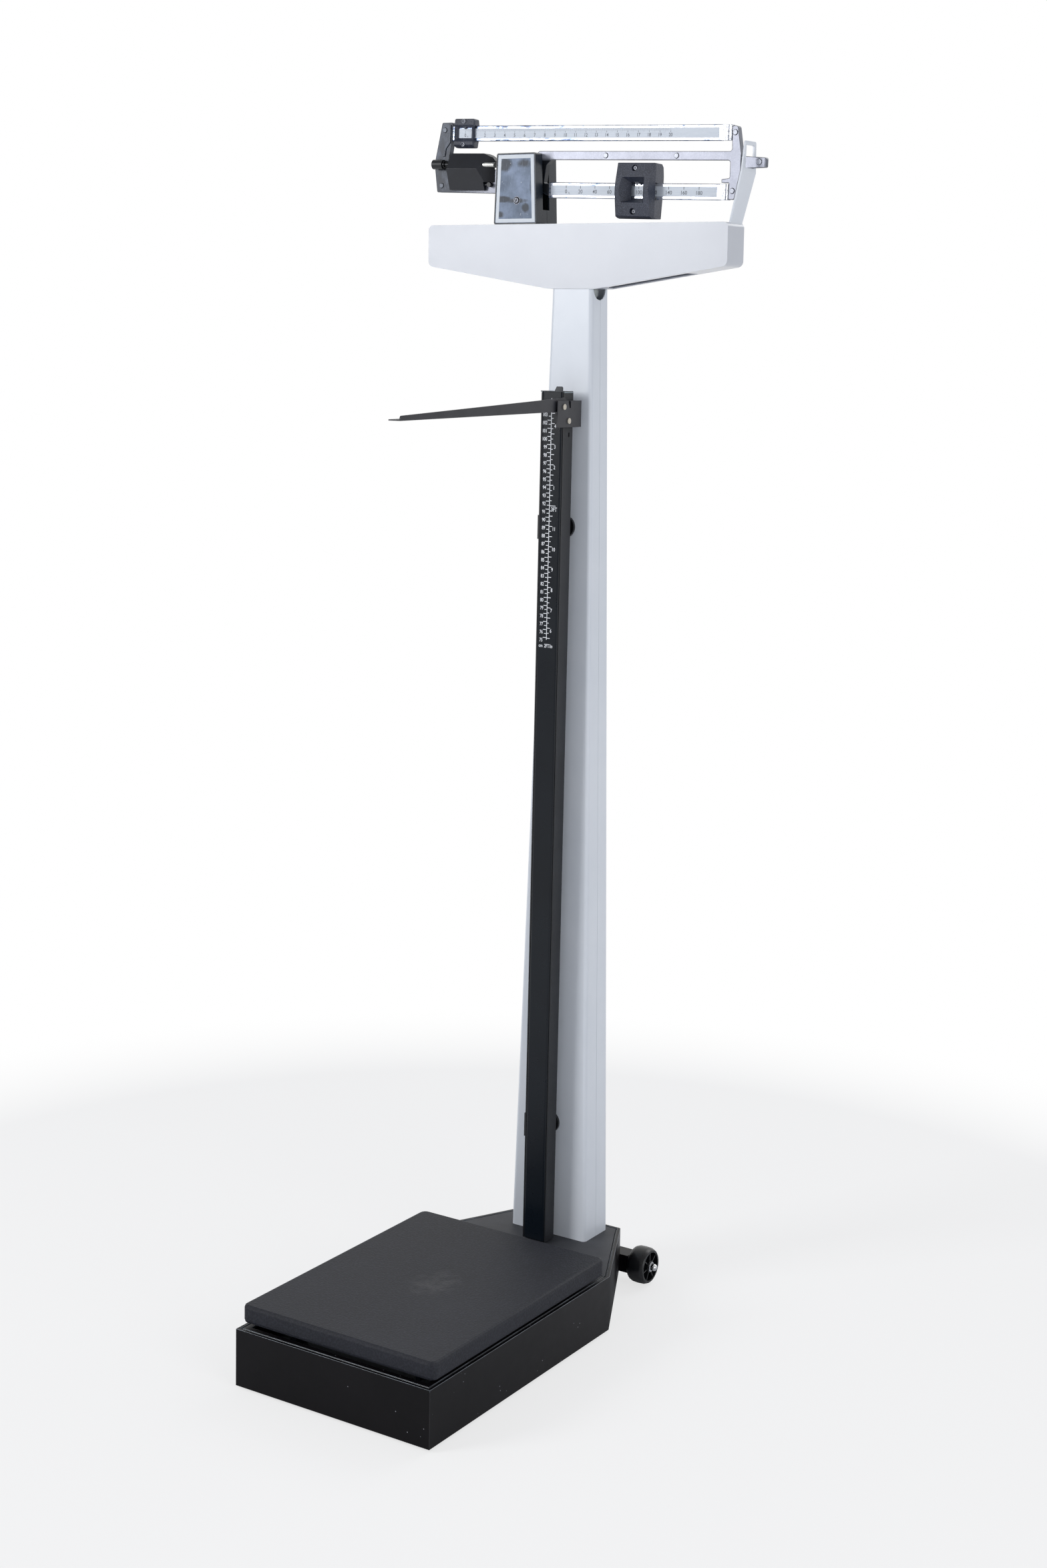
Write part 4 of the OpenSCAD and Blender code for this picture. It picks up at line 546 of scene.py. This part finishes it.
def finish_with(piece, *materials):
    """Gives a piece these materials and no others."""
    piece.data.materials.clear()
    for material in materials:
        piece.data.materials.append(material)


def placed(name, mesh):
    """A new object with this mesh, in the scene."""
    piece = bpy.data.objects.new(name, mesh)
    bpy.context.scene.collection.objects.link(piece)
    return piece


def evaluated(piece):
    """A piece's plain mesh with its modifiers applied."""
    return bpy.data.meshes.new_from_object(piece.evaluated_get(bpy.context.evaluated_depsgraph_get()))


for node_name, node_object in frame["nodes"].items():
    finish_with(node_object, finish_of[node_name])


# Softened copies of sheet and cast pieces

# Points of a CAD mesh nearer than this are one, in metres
SAME_POINT = 2e-6
# Faces that meet flatter than this are one, and edges sharper than the other are rounded, in degrees
FLAT_ANGLE = 0.8
SHARP_ANGLE = 32


def merged_copy(node_name):
    """A CAD node's mesh with its doubled points merged, to work on."""
    work = bmesh.new()
    work.from_mesh(frame["nodes"][node_name].data)
    bmesh.ops.remove_doubles(work, verts=work.verts, dist=SAME_POINT)
    return work


def softened(node_name, width_mm, segments, edge_light_and_shade=None):
    """A merged copy of a CAD node with its edges rounded, which stands for it."""
    work = merged_copy(node_name)
    bmesh.ops.dissolve_limit(work, angle_limit=math.radians(FLAT_ANGLE), verts=work.verts, edges=work.edges)
    for face in work.faces:
        face.smooth = True
    mesh = bpy.data.meshes.new(node_name + "_form")
    work.to_mesh(mesh)
    work.free()
    piece = placed(node_name + "_form", mesh)
    finish_with(piece, finish_of[node_name], *([edge_light_and_shade] if edge_light_and_shade else []))
    round_off = piece.modifiers.new("rounded edges", "BEVEL")
    round_off.width = width_mm * MM
    round_off.segments = segments
    round_off.limit_method = "ANGLE"
    round_off.angle_limit = math.radians(SHARP_ANGLE)
    round_off.use_clamp_overlap = True
    # The rounded edges take the second material, which paints a highlight or shade along them
    if edge_light_and_shade:
        round_off.material = 1
    flats = piece.modifiers.new("flat faces stay flat", "WEIGHTED_NORMAL")
    flats.keep_sharp = True
    made = evaluated(piece)
    piece.modifiers.clear()
    piece.data = made
    made.name = node_name + "_form"
    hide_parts(node_name)
    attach(piece, frame["nodes"][node_name]["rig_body"])


# Rounding of each piece's edges in millimetres: the widest ones take one more step
SOFT_EDGES = {
    "base_housing": 0.9, "head_box_front": 1.2, "head_box_rear": 0.8, "stand_front": 0.8, "stand_rear": 0.8,
    "counterweight": 0.8, "large_poise_front": 0.7, "large_poise_rear": 0.7, "small_poise_front": 0.5,
    "small_poise_rear": 0.5, "beam_frame": 0.8, "trig_loop": 0.5, "wheel_left": 0.5, "wheel_right": 0.5,
    "wheel_bar": 1.2, "rod_cap": 0.3, "slider_bracket": 0.25, "measuring_arm": 0.25, "stand_plate": 0.15,
    "pointer": 0.5, "bar_end_clamps": 0.3, "rear_top_plate": 0.3,
}
# Second materials for the rounded edges: a painted highlight along the housing's rim, painted shade along the beam's
# and the pointer's edges
EDGE_LIGHT_AND_SHADE = {"base_housing": HOUSING_RIM_HIGHLIGHT, "beam_frame": EDGE_SHADE, "pointer": EDGE_SHADE}
for node_name, width in SOFT_EDGES.items():
    softened(node_name, width, 3 if width > 1 else 2, EDGE_LIGHT_AND_SHADE.get(node_name))

# Width of the painted shade line round the castings' front faces, in millimetres
RIM_LINE = 0.6


def edge_line(name, node_name, half, body):
    """A thin line of painted shade along the rim of a casting's front face. The face lies half the casting's
    thickness in front of the beam's middle."""
    front_y = (BEAM_Y - half - MID_Y) * MM
    source = merged_copy(node_name)
    line = bmesh.new()
    for edge in source.edges:
        front = [face for face in edge.link_faces
                 if face.normal.y < -0.98 and abs(face.calc_center_median().y - front_y) < 0.1 * MM]
        if len(edge.link_faces) != 2 or len(front) != 1:
            continue
        a, b = (v.co for v in edge.verts)
        middle = front[0].calc_center_median()
        inward = front[0].normal.cross(b - a).normalized()
        if inward.dot(middle - a) < 0:
            inward = -inward
        lift = Vector((0, -PRINT_UP * MM, 0))
        inner = lift + inward * RIM_LINE * MM
        corners = [a + lift, b + lift, b + inner, a + inner]
        face = line.faces.new([line.verts.new(c) for c in corners])
        face.normal_update()
        if face.normal.y > 0:
            face.normal_flip()
    source.free()
    bmesh.ops.remove_doubles(line, verts=line.verts, dist=SAME_POINT)
    mesh = bpy.data.meshes.new(name)
    line.to_mesh(mesh)
    line.free()
    piece = placed(name, mesh)
    finish_with(piece, EDGE_SHADE)
    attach(piece, body)


edge_line("beam_rim_line", "beam_frame", CAST_HALF, "beam")
edge_line("pointer_rim_line", "pointer", POINTER_HALF, "beam")


# Repeated small shapes, made by Geometry Nodes in millimetres

def recipe(name, **sockets):
    """An empty Geometry Nodes tree with named inputs, and those inputs as sockets."""
    tree = bpy.data.node_groups.new(name, "GeometryNodeTree")
    tree.interface.new_socket(name="Geometry", in_out="INPUT", socket_type="NodeSocketGeometry")
    for label, kind in sockets.items():
        tree.interface.new_socket(name=label.replace("_", " "), in_out="INPUT", socket_type="NodeSocket" + kind)
    tree.interface.new_socket(name="Geometry", in_out="OUTPUT", socket_type="NodeSocketGeometry")
    return tree, add(tree, "NodeGroupInput").outputs


def ending(tree, geometry, material):
    """Realizes the instances and sets the material, as the tree's last steps."""
    real = add(tree, "GeometryNodeRealizeInstances", {"Geometry": geometry}).outputs[0]
    dressed = add(tree, "GeometryNodeSetMaterial", {"Geometry": real, "Material": material}).outputs[0]
    add(tree, "NodeGroupOutput", {"Geometry": dressed})


def grown(tree, points, **values):
    """The plain mesh that a tree makes on the given points."""
    seed = bpy.data.meshes.new("points")
    seed.from_pydata(points, [], [])
    piece = placed("points", seed)
    maker = piece.modifiers.new("maker", "NODES")
    maker.node_group = tree
    for item in tree.interface.items_tree:
        label = item.name.replace(" ", "_")
        if item.in_out == "INPUT" and label in values:
            maker[item.identifier] = values[label]
    made = evaluated(piece)
    bpy.data.objects.remove(piece)
    return made


def settled(name, mesh, matrix, material, body):
    """A finished mesh in millimetres, put in its place and made a piece of that body."""
    mesh.name = name
    mesh.transform(matrix)
    piece = placed(name, mesh)
    finish_with(piece, material)
    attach(piece, body)
    return piece


def marks_recipe():
    """A row of upright marks along X that hang from one line: every so many is longer."""
    tree, given = recipe(
        "row of scale marks", Count="Int", First="Int", Pitch="Float", Width="Float", Short="Float",
        Middle="Float", Long="Float", Middle_Every="Int", Long_Every="Int", Material="Material")
    start = add(tree, "ShaderNodeCombineXYZ", {0: reckon(tree, "MULTIPLY", given["First"], given["Pitch"])})
    step = add(tree, "ShaderNodeCombineXYZ", {0: given["Pitch"]})
    line = add(tree, "GeometryNodeMeshLine", {
        "Count": given["Count"], "Start Location": start.outputs[0], "Offset": step.outputs[0]})
    number = reckon(tree, "ADD", add(tree, "GeometryNodeInputIndex").outputs[0], given["First"])
    reach = given["Short"]
    for every, length in (("Middle Every", "Middle"), ("Long Every", "Long")):
        rest = reckon(tree, "MODULO", reckon(tree, "ADD", number, 0.25), given[every])
        hit = reckon(tree, "LESS_THAN", rest, 0.5)
        ends = {"Factor": hit, "A": reach, "B": given[length]}
        reach = add(tree, "ShaderNodeMix", ends, data_type="FLOAT").outputs[0]
    unit = add(tree, "GeometryNodeMeshGrid", {"Size X": 1.0, "Size Y": 1.0, "Vertices X": 2, "Vertices Y": 2})
    upright = add(tree, "GeometryNodeTransform", {
        "Geometry": unit.outputs["Mesh"], "Translation": (0, 0, -0.5), "Rotation": (math.radians(90), 0, 0)})
    size = add(tree, "ShaderNodeCombineXYZ", {0: given["Width"], 1: 1.0, 2: reach}).outputs[0]
    copies = add(tree, "GeometryNodeInstanceOnPoints", {
        "Points": line.outputs["Mesh"], "Instance": upright.outputs[0], "Scale": size})
    ending(tree, copies.outputs[0], given["Material"])
    return tree


def screw_recipe():
    """A screw with a chamfered round head, a cross recess and its shank, standing along -Y on each point."""
    tree, given = recipe(
        "cross recessed screw", Head_Radius="Float", Head_Height="Float", Shank_Radius="Float",
        Shank_Length="Float", Recess="Float", Depth="Float", Material="Material")
    radius, height = given["Head Radius"], given["Head Height"]
    low = reckon(tree, "MULTIPLY", height, 0.6)
    shapes = []
    for lower, upper, start, length in (
        (radius, radius, 0.0, low),
        (radius, reckon(tree, "MULTIPLY", radius, 0.78), low, reckon(tree, "MULTIPLY", height, 0.4)),
        (given["Shank Radius"], given["Shank Radius"], reckon(tree, "MULTIPLY", given["Shank Length"], -1.0),
         reckon(tree, "ADD", given["Shank Length"], low)),
    ):
        round_part = add(tree, "GeometryNodeMeshCone", {
            "Vertices": 24, "Radius Bottom": lower, "Radius Top": upper, "Depth": length})
        lift = add(tree, "ShaderNodeCombineXYZ", {2: start}).outputs[0]
        shapes.append(add(tree, "GeometryNodeTransform", {
            "Geometry": round_part.outputs["Mesh"], "Translation": lift}).outputs[0])
    body = add(tree, "GeometryNodeMeshBoolean", operation="UNION")
    for shape in shapes:
        tree.links.new(shape, body.inputs["Mesh 2"])
    cut = add(tree, "GeometryNodeMeshBoolean", {"Mesh 1": body.outputs["Mesh"]}, operation="DIFFERENCE")
    narrow = reckon(tree, "MULTIPLY", given["Recess"], 0.3)
    deep = reckon(tree, "MULTIPLY", given["Depth"], 2.0)
    for wide, tall in ((given["Recess"], narrow), (narrow, given["Recess"])):
        size = add(tree, "ShaderNodeCombineXYZ", {0: wide, 1: tall, 2: deep}).outputs[0]
        arm = add(tree, "GeometryNodeMeshCube", {"Size": size})
        lift = add(tree, "ShaderNodeCombineXYZ", {2: height}).outputs[0]
        moved = add(tree, "GeometryNodeTransform", {"Geometry": arm.outputs["Mesh"], "Translation": lift})
        tree.links.new(moved.outputs[0], cut.inputs["Mesh 2"])
    outward = add(tree, "GeometryNodeTransform", {
        "Geometry": cut.outputs["Mesh"], "Rotation": (math.radians(90), math.radians(20), 0)})
    points = add(tree, "GeometryNodeInstanceOnPoints", {"Points": given["Geometry"], "Instance": outward.outputs[0]})
    ending(tree, points.outputs[0], given["Material"])
    return tree


def ring_recipe():
    """A thin round bead that lies round each point, facing -Y."""
    tree, given = recipe("bead round a hole", Radius="Float", Bead="Float", Material="Material")
    path = add(tree, "GeometryNodeCurvePrimitiveCircle", {"Resolution": 28, "Radius": given["Radius"]})
    profile = add(tree, "GeometryNodeCurvePrimitiveCircle", {"Resolution": 6, "Radius": given["Bead"]})
    bead = add(tree, "GeometryNodeCurveToMesh", {
        "Curve": path.outputs["Curve"], "Profile Curve": profile.outputs["Curve"]})
    facing = add(tree, "GeometryNodeTransform", {"Geometry": bead.outputs[0], "Rotation": (math.radians(90), 0, 0)})
    copies = add(tree, "GeometryNodeInstanceOnPoints", {"Points": given["Geometry"], "Instance": facing.outputs[0]})
    ending(tree, copies.outputs[0], given["Material"])
    return tree


MARKS = marks_recipe()
SCREW = screw_recipe()
BEAD = ring_recipe()


# Screws with their recesses, in place of the plain ones

def recessed(node_name, places, matrix, body, head, shank, recess, material):
    """Replaces a node's plain screws by ones with a cross recess: head and shank are (radius, length)."""
    mesh = grown(SCREW, places, Head_Radius=head[0], Head_Height=head[1], Shank_Radius=shank[0],
                 Shank_Length=shank[1], Recess=recess, Depth=head[1] * 0.55, Material=material)
    piece = settled(node_name + "_form", mesh, matrix, material, body)
    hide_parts(node_name)


def beads(name, places, matrix, body, radius, bead, material):
    """One piece of thin beads, each round one place."""
    settled(name, grown(BEAD, places, Radius=radius, Bead=bead, Material=material), matrix, material, body)


# In the beam's own millimetres: the screws of the two weights at the bottom of their seats, and the rivets' heads
SMALL_SCREWS = [(FINE_ZERO, -5.72, UPPER_W + w) for w in (15.1, -14.1)]
LARGE_U = COARSE_ZERO + COARSE_REST * COARSE_PITCH
LARGE_SCREWS = [(LARGE_U, -12.42, LOWER_W + w) for w in (27.3, -25.1)]
BEAM_RIVETS = [(-124, 57.4), (-126.3, -13), (297.7, 53.3), (297.2, -15.6), (119, 25.75), (219, 25.75)]
POINTER_RIVET = (330.9, 18.8)
# Where the seats of the small weight's screws meet its front face: the upper one leans back a little
SMALL_RIMS = [(u, -8.9 + 0.05 * (w > UPPER_W), w) for u, _, w in SMALL_SCREWS]


def on_panel(sunk):
    """The panel screw's place, so far behind the panel's face."""
    return [(PANEL_SCREW[0], PANEL_Y - sunk, PANEL_SCREW[1])]


recessed("small_poise_screws", SMALL_SCREWS, beam_matrix(), "small_poise", (2.1, 1.9), (1.5, 11.2), 2.5, BLACK_OXIDE)
recessed("large_poise_screws", LARGE_SCREWS, beam_matrix(), "large_poise", (2.9, 1.9), (1.5, 17.9), 3.4, BLACK_OXIDE)
recessed("stand_screw", on_panel(0.05), object_matrix(), "base", (4.0, 1.55), (2.0, 5.3), 4.6, BLACK_OXIDE)
# Painted highlights: bright beads on the rims of the screw seats
beads("small_poise_rims", SMALL_RIMS, beam_matrix(), "small_poise", 2.45, 0.22, SEAT_RIM_HIGHLIGHT)
beads("panel_screw_rim", on_panel(0.04), object_matrix(), "base", 4.7, 0.42, SEAT_RIM_HIGHLIGHT)
# Painted shade: dark beads in the gaps round the panel screw, the rivets and the pointer's rivet
beads("panel_screw_gap", on_panel(0.1), object_matrix(), "base", 4.2, 0.36, JOINT_SHADE)
beads("rivet_joints", [(u, -CAST_HALF - 0.02, w) for u, w in BEAM_RIVETS], beam_matrix(), "beam", 3.15, 0.42,
      JOINT_SHADE)
beads("pointer_joint", [(POINTER_RIVET[0], -POINTER_HALF - 0.05, POINTER_RIVET[1])], beam_matrix(), "beam", 3.6, 0.34,
      JOINT_SHADE)


# Printed scales

# Height of a numeral, as a share of Blender's own font size
CAPITAL = 0.73
# One row of marks that starts at its own first place
ROW_START = [(0, 0, 0)]


def numeral(words, height, x, z, across, align="LEFT", weight=0.0):
    """Flat outline letters in a plane that faces -Y, as a mesh: their height, place and added weight are in
    millimetres, and across narrows them."""
    curve = bpy.data.curves.new("numeral", "FONT")
    curve.body = words
    curve.size = height / CAPITAL
    curve.offset = weight
    curve.align_x = align
    curve.align_y = "CENTER"
    curve.resolution_u = 3
    curve.fill_mode = "FRONT"
    text = placed("numeral", curve)
    made = evaluated(text)
    bpy.data.objects.remove(text)
    stand_up = Matrix.Rotation(math.radians(90), 4, "X")
    made.transform(Matrix.Translation((x, 0, z)) @ stand_up @ Matrix.Diagonal((across, 1, 1, 1)))
    return made


def quad(*corners):
    """A flat four-cornered mark from its corners' x and z."""
    mesh = bpy.data.meshes.new("quad")
    mesh.from_pydata([(x, 0, z) for x, z in corners], [], [tuple(range(4))])
    return mesh


def dash(x0, x1, z0, z1):
    """A flat upright rectangle."""
    return quad((x0, z0), (x1, z0), (x1, z1), (x0, z1))


def printed(name, parts, depth_y, matrix, material, body):
    """One thin print from flat parts, raised a little from depth_y towards -Y, all facing that way."""
    work = bmesh.new()
    for mesh in parts:
        work.from_mesh(mesh)
        bpy.data.meshes.remove(mesh)
    bmesh.ops.remove_doubles(work, verts=work.verts, dist=1e-4)
    bmesh.ops.translate(work, verts=work.verts, vec=(0, depth_y - PRINT_UP, 0))
    wrong = [face for face in work.faces if face.normal.y > 0]
    bmesh.ops.reverse_faces(work, faces=wrong)
    mesh = bpy.data.meshes.new(name)
    work.to_mesh(mesh)
    work.free()
    piece = settled(name, mesh, matrix, material, body)


def turned_marks(line_x, side, base_z, **values):
    """Marks that climb the rod and reach to one side of its middle line."""
    mesh = grown(MARKS, ROW_START, Material=INK_WHITE, **values)
    mesh.transform(Matrix(((0, 0, side, line_x), (0, 1, 0, 0), (1, 0, 0, base_z), (0, 0, 0, 1))))
    return mesh


def rod_print():
    """Centimetres on the left and inches on the right of one line, counted from the platform."""
    line_x, half_line = -0.8, 0.45
    top, bottom = PLATFORM_Z + 1047, PLATFORM_Z + 749
    half_cm, quarter_inch = 5.0, 6.35
    weight = 0.09
    parts = [
        dash(line_x - half_line, line_x + half_line, bottom - 1.6, top),
        turned_marks(line_x, 1, PLATFORM_Z, Count=60, First=150, Pitch=half_cm, Width=0.8, Short=3.8,
                     Middle=5.4, Long=5.4, Middle_Every=2, Long_Every=2),
        turned_marks(line_x, -1, PLATFORM_Z, Count=47, First=118, Pitch=quarter_inch, Width=0.8, Short=3.0,
                     Middle=4.9, Long=9.0, Middle_Every=2, Long_Every=48),
    ]
    for centimetre in range(75, 105):
        z = PLATFORM_Z + centimetre * 2 * half_cm
        parts.append(numeral(str(centimetre), 4.6, -6.4, z - 3.4, 0.76, "RIGHT", weight))
    for inch in range(30, 42):
        z = PLATFORM_Z + inch * 4 * quarter_inch
        feet, rest = divmod(inch, 12)
        if rest:
            parts.append(numeral(str(rest), 4.8, 3.9, z - 3.4, 0.76, weight=weight))
        else:
            parts.append(numeral(str(feet) + "FT", 5.2, 1.6, z - 4.6, 0.78, weight=weight))
    parts.append(numeral("cm", 4.4, -12.0, bottom - 9.5, 0.8, weight=weight))
    parts.append(numeral("2FT/in", 4.6, -4.0, bottom - 9.5, 0.76, weight=weight))
    printed("height_print", parts, -1.6, rod_matrix(), INK_WHITE, "inner_rod")


def upper_print():
    """Tenths of a kilogram hang from the strip's upper edge, with whole kilograms numbered below."""
    marks = grown(MARKS, ROW_START, Material=INK_PALE, Count=201, First=0, Pitch=FINE_PITCH / 10, Width=0.34,
                  Short=3.0, Middle=4.0, Long=4.9, Middle_Every=5, Long_Every=10)
    marks.transform(Matrix.Translation((FINE_ZERO, 0, UPPER_W + 5.7)))
    whole = grown(MARKS, ROW_START, Material=INK_GREY, Count=21, First=0, Pitch=FINE_PITCH, Width=0.45,
                  Short=2.1, Middle=2.1, Long=2.1, Middle_Every=1, Long_Every=1)
    whole.transform(Matrix.Translation((FINE_ZERO, 0, UPPER_W + 2.7)))
    numbers = [numeral(str(kilo), 4.5, FINE_ZERO + kilo * FINE_PITCH, UPPER_W - 2.6, 0.86, "CENTER", 0.07)
               for kilo in range(21)]
    numbers.append(numeral("kg", 2.0, FINE_ZERO + 2.6, UPPER_W - 3.6, 0.8))
    printed("fine_scale_marks", [marks], STRIP_Y, beam_matrix(), INK_PALE, "beam")
    printed("fine_scale_print", numbers + [whole], STRIP_Y - PRINT_UP, beam_matrix(), INK_GREY, "beam")


def lower_print():
    """Every twenty kilograms has a mark above its number."""
    pitch = 20 * COARSE_PITCH
    marks = grown(MARKS, ROW_START, Material=INK_GREY, Count=10, First=0, Pitch=pitch, Width=0.8,
                  Short=3.7, Middle=3.7, Long=3.7, Middle_Every=1, Long_Every=1)
    marks.transform(Matrix.Translation((COARSE_ZERO, 0, LOWER_W + 6.1)))
    numbers = [numeral(str(step * 20), 4.9, COARSE_ZERO + step * pitch, LOWER_W - 1.6, 0.96, "CENTER", 0.08)
               for step in range(10)]
    numbers.append(numeral("kg", 2.2, COARSE_ZERO + 3.0, LOWER_W - 2.8, 0.8))
    printed("coarse_scale_print", numbers + [marks], STRIP_Y, beam_matrix(), INK_GREY, "beam")


def panel_border():
    """A band printed just inside the edge of the stand's panel, which narrows towards its top."""
    low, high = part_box("stand_plate")
    half = (high.x - low.x) / MM / 2 - 0.6
    narrowing, band = 3.2, 4.6

    def outline(inset):
        z0, z1 = low.z / MM + 0.5 + inset, high.z / MM - 0.5 - inset
        wide, slim = half - inset, half - narrowing - inset
        return [(STAND_X - wide, z0), (STAND_X + wide, z0), (STAND_X + slim, z1), (STAND_X - slim, z1)]

    outer, inner = outline(0), outline(band)
    parts = [quad(outer[i], outer[(i + 1) % 4], inner[(i + 1) % 4], inner[i]) for i in range(4)]
    printed("panel_border", parts, PANEL_Y, object_matrix(), PANEL_BORDER, "base")


rod_print()
upper_print()
lower_print()
panel_border()


# Floor, light and camera

# How much of the floor's own shading gives way to white where the camera sees it
FLOOR_WHITE = 0.7
# Half the floor's side, how far it lies below the feet, and where it fades into the white, in metres
FLOOR_HALF = 6.0
FLOOR_DROP = 0.0005
FADE_FROM, FADE_TO = 0.4, 1.4


def seen_directly(tree):
    """The light path node, and 1 on rays that come straight from the camera."""
    rays = add(tree, "ShaderNodeLightPath").outputs
    return rays, reckon(tree, "MAXIMUM", rays["Is Camera Ray"], rays["Is Transmission Ray"])


def stage_floor():
    """A pale floor that keeps the object's shadow and fades into the white background."""
    mesh = bpy.data.meshes.new("floor")
    corners = [(x * FLOOR_HALF, y * FLOOR_HALF, 0) for x, y in ((-1, -1), (1, -1), (1, 1), (-1, 1))]
    mesh.from_pydata(corners, [], [(0, 1, 2, 3)])
    floor = placed("floor", mesh)
    floor.location.z = -FLOOR_DROP
    material = bpy.data.materials.new("pale studio floor")
    material.use_nodes = True
    tree = material.node_tree
    tree.nodes.clear()
    coords = add(tree, "ShaderNodeTexCoord").outputs["Object"]
    far = add(tree, "ShaderNodeVectorMath", {0: coords}, operation="LENGTH").outputs["Value"]
    fade = add(tree, "ShaderNodeMapRange", {"Value": far, "From Min": FADE_FROM, "From Max": FADE_TO},
               interpolation_type="SMOOTHSTEP").outputs["Result"]
    rays, seen = seen_directly(tree)
    far_off = reckon(tree, "MULTIPLY", fade, reckon(tree, "MAXIMUM", seen, rays["Is Glossy Ray"]))
    hide = reckon(tree, "MAXIMUM", far_off, reckon(tree, "MULTIPLY", seen, FLOOR_WHITE))
    matt = add(tree, "ShaderNodeBsdfDiffuse", {"Color": paint("f4f4f6")}).outputs[0]
    clear = add(tree, "ShaderNodeEmission", {"Color": (1, 1, 1, 1), "Strength": 1.0}).outputs[0]
    both = add(tree, "ShaderNodeMixShader", {0: hide, 1: matt, 2: clear}).outputs[0]
    add(tree, "ShaderNodeOutputMaterial", {"Surface": both})
    finish_with(floor, material)


def studio_world():
    """White to the eye. In reflections the backdrop behind the object is white, and the room in front is dim."""
    world = bpy.data.worlds.new("studio")
    bpy.context.scene.world = world
    world.use_nodes = True
    tree = world.node_tree
    tree.nodes.clear()
    rays, seen = seen_directly(tree)
    white = add(tree, "ShaderNodeBackground", {"Color": (1, 1, 1, 1), "Strength": 1.0}).outputs[0]
    dim = add(tree, "ShaderNodeBackground", {"Color": paint("eef2f8"), "Strength": 0.4}).outputs[0]
    toward = add(tree, "ShaderNodeSeparateXYZ", {0: add(tree, "ShaderNodeTexCoord").outputs["Generated"]})
    backdrop = span(tree, toward.outputs["Y"], 0.35, 1.0, -0.2, 0.5)
    mirrored = add(tree, "ShaderNodeBackground", {"Color": (1, 1, 1, 1), "Strength": backdrop}).outputs[0]
    both = add(tree, "ShaderNodeMixShader", {0: rays["Is Glossy Ray"], 1: dim, 2: mirrored}).outputs[0]
    both = add(tree, "ShaderNodeMixShader", {0: seen, 1: both, 2: white}).outputs[0]
    add(tree, "ShaderNodeOutputWorld", {"Surface": both})


def softbox(name, place_at, target, size, power):
    """A rectangular soft lamp in metres and watts that faces its target."""
    light = bpy.data.lights.new(name, "AREA")
    light.shape = "RECTANGLE"
    light.size, light.size_y = size
    light.energy = power
    lamp = placed(name, light)
    lamp.location = place_at
    lamp.rotation_euler = (Vector(target) - Vector(place_at)).to_track_quat("-Z", "Y").to_euler()


def camera():
    """The photograph's viewpoint, from the fit of the printed scale and the object's corners: angles in degrees,
    lengths on the picture in its pixels, and the lens's place in millimetres."""
    frame_high, focal, horizon = 2349, 3493.04, 873.9
    sensor_high = 36
    yaw, pitch, roll = math.radians(33.0981), math.radians(6.1767), math.radians(0.9713)
    forward = Vector((-math.sin(yaw) * math.cos(pitch), math.cos(yaw) * math.cos(pitch), -math.sin(pitch)))
    right = Vector((math.cos(yaw), math.sin(yaw), 0))
    up = right.cross(forward)
    side = right * math.cos(roll) + up * math.sin(roll)
    top = -right * math.sin(roll) + up * math.cos(roll)
    lens = bpy.data.cameras.new("camera")
    lens.sensor_fit = "VERTICAL"
    lens.sensor_height = sensor_high
    lens.sensor_width = 24
    lens.lens = focal / frame_high * sensor_high
    lens.shift_y = -(frame_high / 2 - horizon) / frame_high
    lens.clip_end = 50
    viewer = placed("camera", lens)
    turn = Matrix((side, top, -forward)).transposed().to_4x4()
    viewer.matrix_world = Matrix.Translation(place(1545.5, -2186.6, 1227.0)) @ turn
    bpy.context.scene.camera = viewer


stage_floor()
studio_world()
softbox("key", (-1.9, -2.7, 2.0), (0, 0.1, 0.7), (1.1, 1.5), 51)
softbox("fill", (2.7, -1.1, 1.2), (0, 0.2, 0.6), (1.6, 2.0), 24)
softbox("back", (0.6, 2.4, 2.6), (0, 0.2, 1.0), (1.5, 1.5), 15)
camera()
bpy.context.scene.view_settings.view_transform = "Standard"
